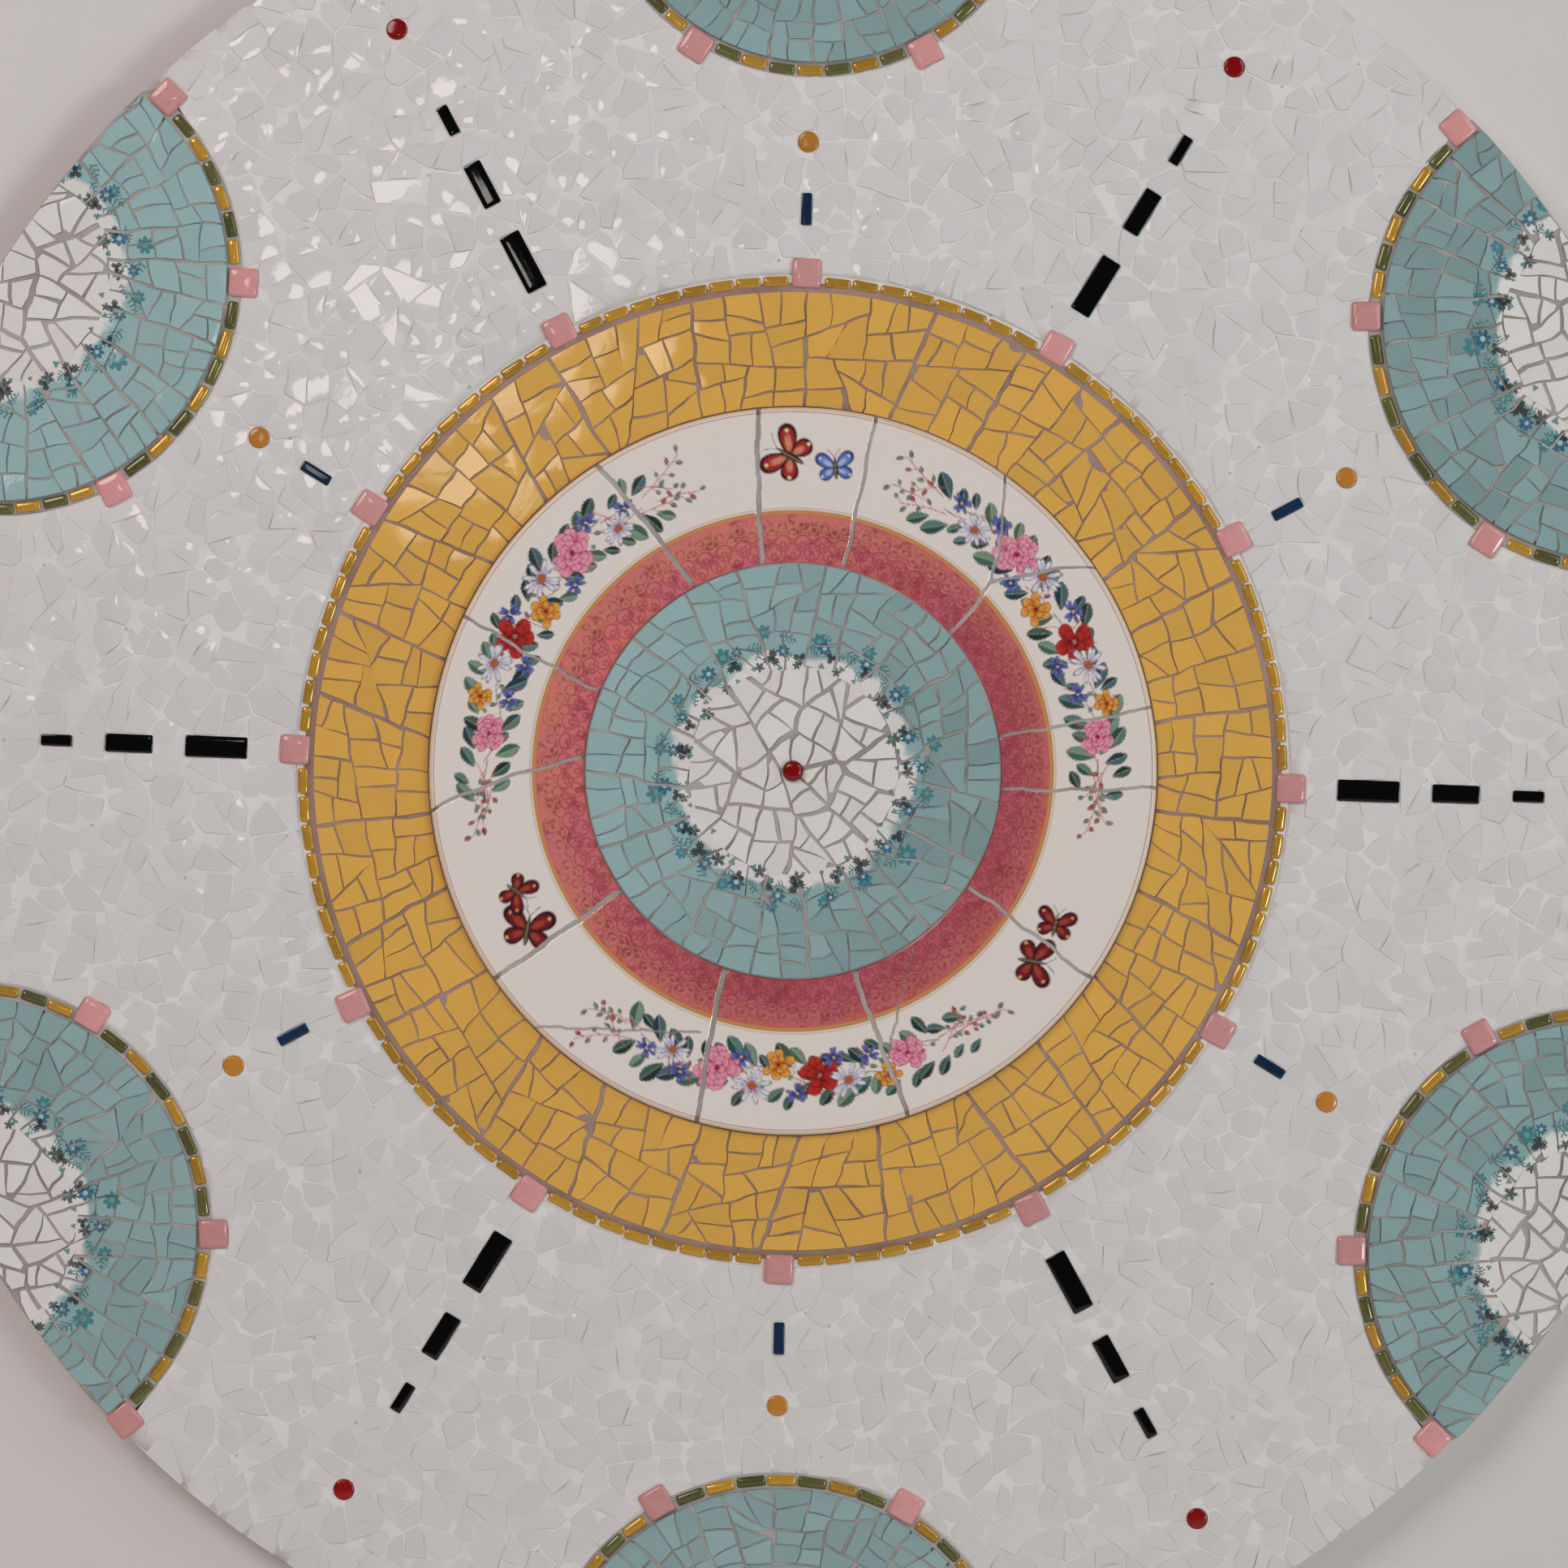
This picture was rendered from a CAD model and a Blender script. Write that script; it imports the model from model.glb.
import math

import bpy
import numpy as np
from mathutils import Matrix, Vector

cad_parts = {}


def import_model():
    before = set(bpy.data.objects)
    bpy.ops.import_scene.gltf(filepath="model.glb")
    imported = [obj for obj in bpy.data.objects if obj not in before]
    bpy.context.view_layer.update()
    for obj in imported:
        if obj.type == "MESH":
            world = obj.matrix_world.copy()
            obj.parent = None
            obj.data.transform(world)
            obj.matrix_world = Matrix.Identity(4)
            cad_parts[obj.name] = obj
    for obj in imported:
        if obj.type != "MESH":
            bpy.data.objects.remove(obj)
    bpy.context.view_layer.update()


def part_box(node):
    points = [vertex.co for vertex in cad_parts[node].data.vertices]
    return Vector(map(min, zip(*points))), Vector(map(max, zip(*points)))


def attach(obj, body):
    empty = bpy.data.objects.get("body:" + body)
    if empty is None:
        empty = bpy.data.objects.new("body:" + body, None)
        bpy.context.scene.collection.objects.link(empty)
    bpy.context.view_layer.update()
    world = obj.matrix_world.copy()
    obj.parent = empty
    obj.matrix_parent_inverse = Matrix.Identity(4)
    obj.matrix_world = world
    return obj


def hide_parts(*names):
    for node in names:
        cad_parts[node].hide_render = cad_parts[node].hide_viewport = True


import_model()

bl_info = {
    "name": "Mosaic Wall Panel",
    "version": (1, 0, 0),
    "blender": (4, 5, 0),
    "location": "3D View > Sidebar > Mosaic",
    "description": "Builds a round mosaic wall panel of broken crockery, glass rods and pillow tiles",
    "category": "Add Mesh",
}

# The design is worked out in millimetres in the plane of the panel: u to the right,
# v up the face and h out of it, counted from the flat back. Angles are in degrees,
# counter-clockwise from +u. world() turns (u, v, h) into Blender's metres.

MM = 0.001


def node_reach(name):
    """Half the width of a node's box in millimetres: the radius of a round node."""
    low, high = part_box(name)
    return (high[0] - low[0]) / 2 / MM


def node_top(name):
    """How far a node stands out from the flat back, in millimetres."""
    return -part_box(name)[0][1] / MM


PANEL_R = node_reach("backing_board")
BOARD_T = node_top("backing_board")
YELLOW_R = node_reach("yellow_band")
DISH_R = node_reach("centre_dish")
FIELD_TOP = node_top("white_field")
YELLOW_TOP = node_top("yellow_band")
PLATE_TOP = node_top("plate_shard_1")
BAR_TOP = node_top("black_bar_1_inner")
PINK_TOP = node_top("ring_edging")
DOT_TOP = node_top("centre_dish")

DESIGN_TURN = -2.0
SPOKES = 6
SPOKE_STEP = 360 / SPOKES
HALF_SPOKE = SPOKE_STEP / 2
PLATE_R = 135.0
PLATE_IN_R = 77.6
PLATE_IN_TOP = 17.3
PLATE_ROUND = 1.2
LIP_TOP = 18.6
WELL_TOP = 16.5
WELL_R = 45.0
WELL_CHUNK = 1.38
DISH_LIP_R = 75.3
DISH_BREAK_R = 39.5
DOT_R = 4.0
PLATE_GOLD_R = 96.5
EDGING_R = 184.9
ROD_R = 182.0
ROD_TOP = 17.8
ROD_W = 4.0
ROD_GAP = 0.9
GROUT_TOP = 16.6
PINK_SIDE = 11.0
PINK_R = 185.2
RODS_PER_SECTOR = 8
MEDALLION_DISH_R = 85.5
MEDALLION_WELL_R = 47.0
MEDALLION_BREAK_R = 41.5
MEDALLION_EDGING_R = 91.0
MEDALLION_ROD_R = 88.4
MEDALLION_PINK_R = 91.6
MEDALLION_PINK_TURNS = (-78.5, -30, 30, 78.5)
MEDALLION_RODS = (6, 7, 6)
MEDALLION_PALE = (0.0, 0.1, 0.5, 0.2, 0.15, 0.1)

# The panel was laid by hand, so nothing in it is quite even, and the solids hold these same numbers:
# the angles of the pink tiles round the ring; how far each half dish is from the middle, how far it
# has turned off its place and what it adds to the radii above; and how far the inlays of each spoke
# have slipped, outwards and in turn.
PINK_ANGLES = (0, 29.7, 60, 90.4, 119.9, 150.1, 179.5, 210, 240, 270.4, 300.6, 330.6)
MEDALLIONS = ((350, 0.4, 3), (342.5, 0.6, -6.5), (348, -0.1, -1), (352.5, 0.9, 1.5),
              (353, 1.1, 1), (350, 1.1, 1))
SLIPS = {"black": ((-0.4, 0), (-2, 0), (-0.3, -0.1), (0, -0.4), (0.4, 0.1), (1.5, 0.4)),
         "red": ((0, 0), (-4, -0.1), (-0.3, 0.1), (0, -0.4), (2, 0), (3, 0.4)),
         "blue": ((-1, -0.1), (0, 0.6), (0, 0), (1, -0.2), (2, 0.6), (-0.5, 0.2))}
BLACK_BARS = {"inner": (214.5, 23.0, 8.0), "middle": (247.0, 17.5, 6.8), "outer": (274.0, 11.5, 4.3)}
BLUE_BAR = (209.0, 12.0, 4.0)
OCHRE_DISC_R = 234.0
RED_DISC_R = 313.0
DISC_R = 4.0
DISC_SIDES = 28
INLAY_SUNK = 2.2
ROD_SUNK = 1.0
ROD_SHOULDER = 0.7
ROD_ARCH = (0.55, 0.25)
MEDALLION_BLOCKS = 16
MEDALLION_SWEEP = 194.0
PLATE_BEVEL = 0.18
SHARD_CREASE = 28
BOARD_SIDES = 360
BOARD_CHAMFER = 0.6
GROUND_BASE = BOARD_T - 0.2
GROUND_STEPS = 720

# Breaks through the rim of the plate: the width of the joint, a seed for how it strays, and
# (radius, angle) from the rim inwards. Two of them meet at 101 mm and go on as one.
BREAKS = (
    {"width": 1.2, "seed": 1, "path": ((135, 154.6), (77, 157.7))},
    {"width": 1.8, "seed": 2, "path": ((135, 122.7), (77, 118.4))},
    {"width": 1.8, "seed": 3, "path": ((135, 95.5), (77, 98.4))},
    {"width": 1.4, "seed": 4, "path": ((135, 76.9), (77, 75.9))},
    {"width": 1.2, "seed": 5, "path": ((135, 54.5), (101, 43.5), (77, 40.9))},
    {"width": 1.2, "seed": 5, "path": ((135, 34.1), (101, 43.5), (77, 40.9))},
    {"width": 1.2, "seed": 6, "path": ((135, 10.0), (77, 9.4))},
    {"width": 1.2, "seed": 7, "path": ((135, -2.6), (77, -5.0))},
    {"width": 1.4, "seed": 8, "path": ((135, -35.0), (77, -33.2))},
    {"width": 1.8, "seed": 9, "path": ((135, -71.4), (77, -73.0))},
    {"width": 1.8, "seed": 10, "path": ((135, -105.2), (77, -108.9))},
    {"width": 1.8, "seed": 11, "path": ((135, -145.1), (77, -145.3))},
    {"width": 1.4, "seed": 12, "path": ((135, -173.8), (98, -180), (77, -183.8))})

# Hairline cracks in the plate, from one (radius, angle) to another.
HAIRLINES = (((96.5, 157.4), (78.0, 164.9)), ((113.0, -72.0), (78.0, -55.0)),
             ((103.0, -109.4), (134.8, -135.3)), ((83.5, -147.0), (78.0, -180.0)))

# How bright a full white comes out on the stage.
WHITE_SHOWN = 0.7
CAMERA_AWAY = 1500.0
CAMERA_U = -3.3
CAMERA_V = -4.8
FRAME_WIDTH = 582.9
SENSOR_WIDTH = 36.0

# The stage, in metres: the wall stands just behind the panel and the floor well below it.
WALL_BEHIND = 0.001
WALL_SIDE = 6.0
WALL_HEIGHT = 5.0
FLOOR_HEIGHT = -0.75
FLOOR_SIDE = 3.0
FLOOR_DEPTH = 2.2
PANEL_FACE = (0.0, -0.017, 0.0)
COOL_LIGHT = (0.98, 1.0, 1.015)


# ---- places

def polar(radius, degrees, centre=(0.0, 0.0)):
    """The point at this radius and angle from a centre; arrays go through as they are."""
    angle = np.radians(degrees)
    return np.stack([centre[0] + radius * np.cos(angle), centre[1] + radius * np.sin(angle)], axis=-1)


def spoke(index, offset=0.0):
    return DESIGN_TURN + offset + index * SPOKE_STEP


def pink_angle(number):
    return DESIGN_TURN + PINK_ANGLES[number % 12] + 360 * (number // 12)


def medallion_plan(index):
    """Where a half dish sits, the angle it faces, and what it adds to its radii."""
    away, turn, grow = MEDALLIONS[index]
    outward = spoke(index, HALF_SPOKE + turn)
    return polar(away, outward), outward + 180, grow


def world(points):
    """(u, v, h) in millimetres becomes (u, -h, v) in metres."""
    return np.stack([points[:, 0], -points[:, 2], points[:, 1]], axis=1) * MM


def dot(a, b):
    return (a * b).sum(axis=-1)


def unit(vectors):
    length = np.maximum(np.linalg.norm(vectors, axis=-1, keepdims=True), 1e-9)
    return vectors / length


def turn_left(vectors):
    """Each vector turned a quarter turn counter-clockwise."""
    return np.stack([-vectors[..., 1], vectors[..., 0]], axis=-1)


def turned(vectors, angles):
    """Each vector turned by its own angle in radians."""
    cos, sin = np.cos(angles)[..., None], np.sin(angles)[..., None]
    return vectors * cos + turn_left(vectors) * sin


# ---- how the crockery breaks
#
# A shard is the part of the plane on the inner side of a set of straight breaks, so it is
# convex. Cells hold, for every shard, a seed point inside it and its breaks as
# normal . point <= offset.

FAR = 1e6


class Cells:
    def __init__(self, seeds, normals, offsets, gaps):
        self.seeds = seeds
        self.normals = normals
        self.offsets = offsets
        self.gaps = gaps

    def add(self, normals, offsets, gap):
        """One more break on every shard, with the width of joint it leaves."""
        gaps = np.full(offsets.shape, float(gap))
        self.normals = np.concatenate([self.normals, normals[:, None]], axis=1)
        self.offsets = np.concatenate([self.offsets, offsets[:, None]], axis=1)
        self.gaps = np.concatenate([self.gaps, gaps[:, None]], axis=1)

    def pick(self, keep):
        return Cells(self.seeds[keep], self.normals[keep], self.offsets[keep], self.gaps[keep])

    def join(self, other):
        return Cells(*(np.concatenate(pair) for pair in (
            (self.seeds, other.seeds), (self.normals, other.normals),
            (self.offsets, other.offsets), (self.gaps, other.gaps))))


def outline(cells, sides):
    """Each shard's outline as sides points, counter-clockwise: rays leave the seed at even angles
    and stop at the first break they meet, and a ray next to a corner is moved to that corner."""
    angles = np.arange(sides) * 2 * np.pi / sides
    rays = np.stack([np.cos(angles), np.sin(angles)], axis=1)
    along = np.einsum("md,tkd->tmk", rays, cells.normals)
    room = cells.offsets - dot(cells.normals, cells.seeds[:, None])
    reach = np.where(along > 1e-6, room[:, None] / np.maximum(along, 1e-6), FAR)
    first = reach.argmin(axis=2)
    distance = np.take_along_axis(reach, first[..., None], axis=2)
    points = cells.seeds[:, None] + rays * distance
    after = np.roll(first, -1, axis=1)
    rows = np.arange(len(cells.seeds))[:, None]
    normal_a, offset_a = cells.normals[rows, first], cells.offsets[rows, first]
    normal_b, offset_b = cells.normals[rows, after], cells.offsets[rows, after]
    cross = normal_a[..., 0] * normal_b[..., 1] - normal_a[..., 1] * normal_b[..., 0]
    safe = np.where(np.abs(cross) > 1e-3, cross, 1.0)
    corner = np.stack([
        (offset_a * normal_b[..., 1] - offset_b * normal_a[..., 1]) / safe,
        (offset_b * normal_a[..., 0] - offset_a * normal_b[..., 0]) / safe], axis=-1)
    beyond = np.einsum("tmd,tkd->tmk", corner, cells.normals) - cells.offsets[:, None]
    real = (first != after) & (np.abs(cross) > 1e-3) & (beyond.max(axis=2) < 0.02)
    return np.where(real[..., None], corner, points)


def area_and_middle(points):
    """Shoelace area and centroid of every outline."""
    after = np.roll(points, -1, axis=1)
    cross = points[..., 0] * after[..., 1] - points[..., 1] * after[..., 0]
    area = cross.sum(axis=1) / 2
    middle = ((points + after) * cross[..., None]).sum(axis=1) / (6 * np.maximum(area, 1e-6)[:, None])
    return area, middle


def settle(cells, sides):
    """Moves every seed to the middle of its shard, where rays meet its corners best."""
    middle = area_and_middle(outline(cells, sides))[1]
    cells.seeds = middle
    return outline(cells, sides)


def room_along(cells, points, directions):
    """How far each point can go in its direction before it leaves its shard."""
    along = dot(cells.normals, directions[:, None])
    room = cells.offsets - dot(cells.normals, points[:, None])
    return np.where(along > 1e-6, room / np.maximum(along, 1e-6), FAR).min(axis=1)


def split(cells, rng, largest, gap, swerve=0.3, rounds=7, about=None):
    """Breaks every shard larger than it may be across its long way, over and over. With a centre to
    go about, breaks run round it or straight out from it."""
    for _ in range(rounds):
        points = settle(cells, 20)
        area, middle = area_and_middle(points)
        spread = points - middle[:, None]
        if about is None:
            long_way = np.linalg.eigh(np.einsum("tmi,tmj->tij", spread, spread))[1][:, :, 1]
        else:
            out = unit(middle - np.asarray(about))
            tall = np.abs(dot(spread, out[:, None])).sum(axis=1)
            wide = np.abs(dot(spread, turn_left(out)[:, None])).sum(axis=1)
            long_way = np.where((tall > wide)[:, None], out, turn_left(out))
        normals = turned(long_way, rng.normal(0, swerve, len(area)))
        ahead, behind = room_along(cells, middle, normals), room_along(cells, middle, -normals)
        shift = rng.uniform(-0.25, 0.25, len(area)) * np.minimum(ahead, behind)
        offsets = dot(normals, middle) + shift
        limit = largest * rng.uniform(0.75, 1.5, len(area))
        big = area > limit
        if not big.any():
            break
        whole, parted = cells.pick(~big), cells.pick(big)
        whole.add(normals[~big], np.full((~big).sum(), FAR), 0)
        halves = []
        for side, end in ((1, -behind), (-1, ahead)):
            half = Cells(parted.seeds, parted.normals, parted.offsets, parted.gaps)
            half.add(side * normals[big], side * offsets[big], gap)
            half.seeds = middle[big] + normals[big] * ((shift + end)[big] / 2)[:, None]
            halves.append(half)
        cells = whole.join(halves[0]).join(halves[1])
    return cells


def keep_outside_circle(cells, centre, radius, gap):
    """Tangent of the circle nearest to each seed; the shard stays on its outer side."""
    towards = unit(np.asarray(centre) - cells.seeds)
    cells.add(towards, dot(towards, np.asarray(centre)) - radius, gap)


def keep_inside_circle(cells, centre, radius, gap):
    away = unit(cells.seeds - np.asarray(centre))
    cells.add(away, dot(away, np.asarray(centre)) + radius, gap)


def nearest_on_block(points, block):
    """The point of a turned rectangle nearest to each point. A block is centre, angle, length, width."""
    centre, degrees, length, width = block
    along = polar(1.0, degrees)
    across = turn_left(along)
    local = points - np.asarray(centre)
    u = np.clip(dot(local, along), -length / 2, length / 2)
    v = np.clip(dot(local, across), -width / 2, width / 2)
    return np.asarray(centre) + u[..., None] * along + v[..., None] * across


def keep_outside_block(cells, block, gap):
    near = nearest_on_block(cells.seeds, block)
    towards = unit(near - cells.seeds)
    cells.add(towards, dot(towards, near), gap)


def open_joints(cells, rng, wedge, variation):
    """Moves every break in by half its joint, by a varying amount, and turns it a little about its
    foot, so that joints widen and narrow."""
    shape = cells.offsets.shape
    room = cells.offsets - dot(cells.normals, cells.seeds[:, None])
    foot = cells.seeds[:, None] + cells.normals * room[..., None]
    turn = np.where(cells.offsets < FAR / 2, rng.normal(0, wedge, shape), 0)
    normals = turned(cells.normals, turn)
    narrow = rng.uniform(1 - variation, 1 + variation, shape)
    offsets = np.where(cells.offsets < FAR / 2, dot(normals, foot), FAR) - cells.gaps / 2 * narrow
    return Cells(cells.seeds, normals, offsets, cells.gaps)


def warp(points, size, wave, seed):
    """Bends straight breaks a little: each point moves by a sum of sines of its place."""
    rng = np.random.default_rng(seed)
    moved = np.zeros_like(points)
    for _ in range(4):
        way = polar(1.0, rng.uniform(0, 360))
        step = polar(1.0, rng.uniform(0, 360))
        phase = rng.uniform(0, 2 * np.pi)
        length = wave * rng.uniform(0.6, 1.6)
        moved += np.sin(dot(points, way) * 2 * np.pi / length + phase)[..., None] * step
    return points + moved * size / 2


def voronoi(seeds, gap, neighbours=18):
    """Every seed keeps what is nearer to it than to any of its nearest neighbours."""
    distance = np.linalg.norm(seeds[:, None] - seeds[None], axis=2)
    np.fill_diagonal(distance, FAR)
    neighbours = min(neighbours, len(seeds) - 1)
    near = np.argsort(distance, axis=1)[:, :neighbours]
    between = seeds[near] - seeds[:, None]
    normals = unit(between)
    halfway = (seeds[near] + seeds[:, None]) / 2
    offsets = dot(normals, halfway)
    return Cells(seeds, normals, offsets, np.full(offsets.shape, float(gap)))


def thin_out(points, spacing):
    """Keeps each point that isn't nearer than spacing to one kept before it."""
    kept = []
    for point in points:
        if not kept or np.linalg.norm(np.array(kept) - point, axis=1).min() >= spacing:
            kept.append(point)
    return np.array(kept)


def ring_blocks(centre, inner, outer, angles, rng, gap, slant=0.12):
    """Blocks of a ring between radial breaks that lean a little; the last angle closes the last
    block."""
    lean = rng.normal(0, slant, len(angles))
    if abs(angles[-1] - angles[0] - 360) < 1e-6:
        lean[-1] = lean[0]
    middle_r = (inner + outer) / 2
    feet = polar(middle_r, angles, centre)
    sides = turned(turn_left(polar(1.0, angles)), lean)
    middles = (angles[:-1] + angles[1:]) / 2
    half = np.radians(np.diff(angles) / 2)
    away = polar(1.0, middles)
    centre = np.asarray(centre)
    normals = np.stack([sides[1:], -sides[:-1], away, -away], axis=1)
    offsets = np.stack([
        dot(sides[1:], feet[1:]), -dot(sides[:-1], feet[:-1]),
        dot(away, centre) + outer + 0.5, -dot(away, centre) - inner * np.cos(half) + 0.5], axis=1)
    gaps = np.broadcast_to([gap, gap, 0.0, 0.0], offsets.shape)
    return Cells(polar(middle_r, middles, centre), normals, offsets, gaps)


def within_ring(points, centre, inner, outer):
    """Points moved straight out or in until they lie in a ring."""
    away = points - np.asarray(centre)
    radius = np.maximum(np.linalg.norm(away, axis=-1, keepdims=True), 1e-6)
    return np.asarray(centre) + away / radius * np.clip(radius, inner, outer)


# ---- meshes

def closed_rings(rings, points_per_ring, first=0):
    """Quads between rings of points, each ring closed on itself; rings run outwards in faces' sense."""
    i = np.arange(points_per_ring)
    j = (i + 1) % points_per_ring
    k = np.arange(rings - 1)[:, None] * points_per_ring + first
    return np.stack([k + i, k + j, k + points_per_ring + j, k + points_per_ring + i], axis=-1).reshape(-1, 4)


def grid_faces(rows, columns):
    """Quads of an open grid of rows by columns points."""
    k = np.arange(rows - 1)[:, None] * columns + np.arange(columns - 1)
    return np.stack([k, k + 1, k + columns + 1, k + columns], axis=-1).reshape(-1, 4)


def solid_faces(rings, sides):
    """Faces of a solid piece: walls between its rings, a fan to the point in the middle of its top, and
    its underside."""
    i = np.arange(sides)
    last = (rings - 1) * sides
    fan = np.stack([last + i, last + (i + 1) % sides, np.full(sides, last + sides)], axis=1)
    return [closed_rings(rings, sides), fan, i[::-1][None]]


def repeated(faces, copies, stride):
    """The same faces for every copy of a shape, stride points apart."""
    return (faces[None] + np.arange(copies)[:, None, None] * stride).reshape(-1, faces.shape[1])


def add_piece(name, points, faces, finish, replaces=(), values=None, uv=None, crease=None):
    """Makes a mesh of points in (u, v, h) and lists of faces, with named values on its points and a
    UV map in metres, and lets it ride on the panel."""
    name = name.lower().replace(" ", "_")
    mesh = bpy.data.meshes.new(name)
    loops = np.concatenate([part.ravel() for part in faces]).astype(np.int32)
    sizes = np.concatenate([np.full(len(part), part.shape[1]) for part in faces])
    starts = np.concatenate([[0], np.cumsum(sizes)[:-1]]).astype(np.int32)
    mesh.vertices.add(len(points))
    mesh.vertices.foreach_set("co", world(points).astype(np.float32).ravel())
    mesh.loops.add(len(loops))
    mesh.loops.foreach_set("vertex_index", loops)
    mesh.polygons.add(len(starts))
    mesh.polygons.foreach_set("loop_start", starts)
    mesh.update(calc_edges=True)
    mesh.polygons.foreach_set("use_smooth", np.ones(len(starts), dtype=bool))
    for key, value in (values or {}).items():
        if value.ndim == 1:
            mesh.attributes.new(key, "FLOAT", "POINT").data.foreach_set("value", value.astype(np.float32))
        else:
            colour = np.concatenate([value, np.ones((len(value), 1))], axis=1).astype(np.float32)
            mesh.attributes.new(key, "FLOAT_COLOR", "POINT").data.foreach_set("color", colour.ravel())
    if uv is not None:
        layer = mesh.uv_layers.new(name="flat")
        layer.data.foreach_set("uv", (uv * MM)[loops].astype(np.float32).ravel())
    if crease is not None:
        mesh.set_sharp_from_angle(angle=math.radians(crease))
    mesh.materials.append(material(finish))
    piece = bpy.data.objects.new(name, mesh)
    bpy.context.scene.collection.objects.link(piece)
    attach(piece, "root")
    if replaces:
        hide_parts(*replaces)


def inset(points, middle, distance):
    """Every outline drawn in by a distance: each point moves that far towards the middle, and never
    more than most of the way."""
    way = middle[:, None] - points
    length = np.maximum(np.linalg.norm(way, axis=-1, keepdims=True), 1e-6)
    return points + way * np.minimum(np.asarray(distance)[..., None, None] / length, 0.85)


def loft(points, middle, base, steps, surface):
    """Solid pieces from their outlines: a wall from base up, then one ring for each (inset, drop)
    step at surface height minus drop, and a point in the middle. Returns points, faces and the
    number of points of a piece."""
    count, sides = points.shape[:2]
    rings = [np.concatenate([points, np.broadcast_to(base, (count, sides))[..., None]], axis=2)]
    for distance, drop in steps:
        ring = inset(points, middle, np.broadcast_to(distance, count))
        height = surface(ring) - np.broadcast_to(drop, count)[:, None]
        rings.append(np.concatenate([ring, height[..., None]], axis=2))
    centre = np.concatenate([middle[:, None], surface(middle[:, None])[..., None]], axis=2)
    solid = np.concatenate(rings + [centre], axis=1)
    stride = len(rings) * sides + 1
    faces = [repeated(part, count, stride) for part in solid_faces(len(rings), sides)]
    return solid.reshape(-1, 3), faces, stride


def crockery(cells, sides, rng, base, top, looks, fit=None):
    """Shards of crockery: sharp edges with a fine bevel, tops a little tilted, lifted and arched, each
    in its own way. top(points) gives the height they lie at, looks holds lift, tilt, arch, bevel, bend
    and the smallest area kept, and fit(points) holds outlines inside a border."""
    points = outline(cells, sides)
    sound = area_and_middle(points)[0] > looks["smallest"]
    points = warp(points[sound], looks["bend"], 14.0, 11)
    if fit is not None:
        points = fit(points)
    area, middle = area_and_middle(points)
    count = len(points)
    size = np.sqrt(area)
    lift = rng.normal(0, looks["lift"], count)
    tilt = rng.normal(0, looks["tilt"], (count, 2))
    arch = np.abs(rng.normal(0, looks["arch"], count)) * size / 10
    arch_way = polar(1.0, rng.uniform(0, 180, count))
    second = rng.uniform(0.1, 1.0, count)

    def surface(ring):
        away = ring - middle[:, None]
        u = dot(away, arch_way[:, None]) / size[:, None]
        v = dot(away, turn_left(arch_way)[:, None]) / size[:, None]
        bow = arch[:, None] * (1 - 4 * u * u - 4 * second[:, None] * v * v)
        return top(ring) + lift[:, None] + dot(away, tilt[:, None]) + bow

    bevel = np.minimum(looks["bevel"], 0.08 * size)
    steps = [(0.0, bevel), (bevel, 0.0), (bevel + 0.22 * size, 0.0)]
    solid, faces, stride = loft(points, middle, base, steps, surface)
    tone = np.repeat(rng.uniform(0, 1, count), stride)
    broken = np.tile(np.arange(stride) < 2 * sides, count).astype(float)
    return solid, faces, {"tone": tone, "broken": broken}


def merged(parts):
    """Several (points, faces, values) as one."""
    points, faces, values = [], [], {}
    start = 0
    for part_points, part_faces, part_values in parts:
        points.append(part_points)
        faces += [part + start for part in part_faces]
        start += len(part_points)
        for key, value in part_values.items():
            values.setdefault(key, []).append(value)
    return np.concatenate(points), faces, {key: np.concatenate(value) for key, value in values.items()}


def sway(points, size, seed):
    """A gentle unevenness in height, up to about size."""
    return (warp(points, size, 11.0, seed) - points)[..., 0]


def ring_bed(inner, outer, base, top, rows, steps, uneven=0.0, seed=0):
    """A closed ring between two borders about the middle of the panel, each a radius or one radius for
    every angle: an outer wall, rows of points across the top at top(points), an inner wall and a flat
    underside."""
    angles = np.arange(steps) * 360 / steps
    inner, outer = np.broadcast_to(inner, steps), np.broadcast_to(outer, steps)
    share = np.linspace(0, 1, rows)[:, None]
    flat = polar(outer + (inner - outer) * share, angles)
    height = top(flat) + sway(flat, uneven, seed)
    flat = np.concatenate([flat[:1], flat, flat[-1:]])
    under = np.full((1, steps), base)
    height = np.concatenate([under, height, under])
    points = np.concatenate([flat, height[..., None]], axis=2).reshape(-1, 3)
    last = (rows + 1) * steps
    closing = closed_rings(2, steps)
    closing = np.where(closing >= steps, closing - steps, closing + last)
    return points, [closed_rings(rows + 2, steps), closing]


def plateau(border, middle, base, top, rows, uneven=0.0, seed=0):
    """A closed convex slab: its border, rings of points shrinking to the middle at top(points), and a
    flat underside."""
    share = np.linspace(0, 1, rows + 1)[:-1, None, None]
    flat = border + (middle - border) * share
    height = top(flat) + sway(flat, uneven, seed)
    rings = np.concatenate([flat, height[..., None]], axis=2).reshape(-1, 3)
    low = np.concatenate([border, np.full((len(border), 1), base)], axis=1)
    peak = np.append(middle, top(middle[None]))[None]
    return np.concatenate([low, rings, peak]), solid_faces(rows + 1, len(border))


def level(height):
    """A flat top at one height."""
    return lambda points: np.full(points.shape[:-1], float(height))


def dish_top(centre, lip, well, drop=0.0):
    """The top of a dish: flat in the well, then rising straight to its lip."""
    def height(points):
        radius = np.linalg.norm(points - np.asarray(centre), axis=-1)
        return np.interp(radius, [well, lip], [WELL_TOP, LIP_TOP]) - drop
    return height


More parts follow.
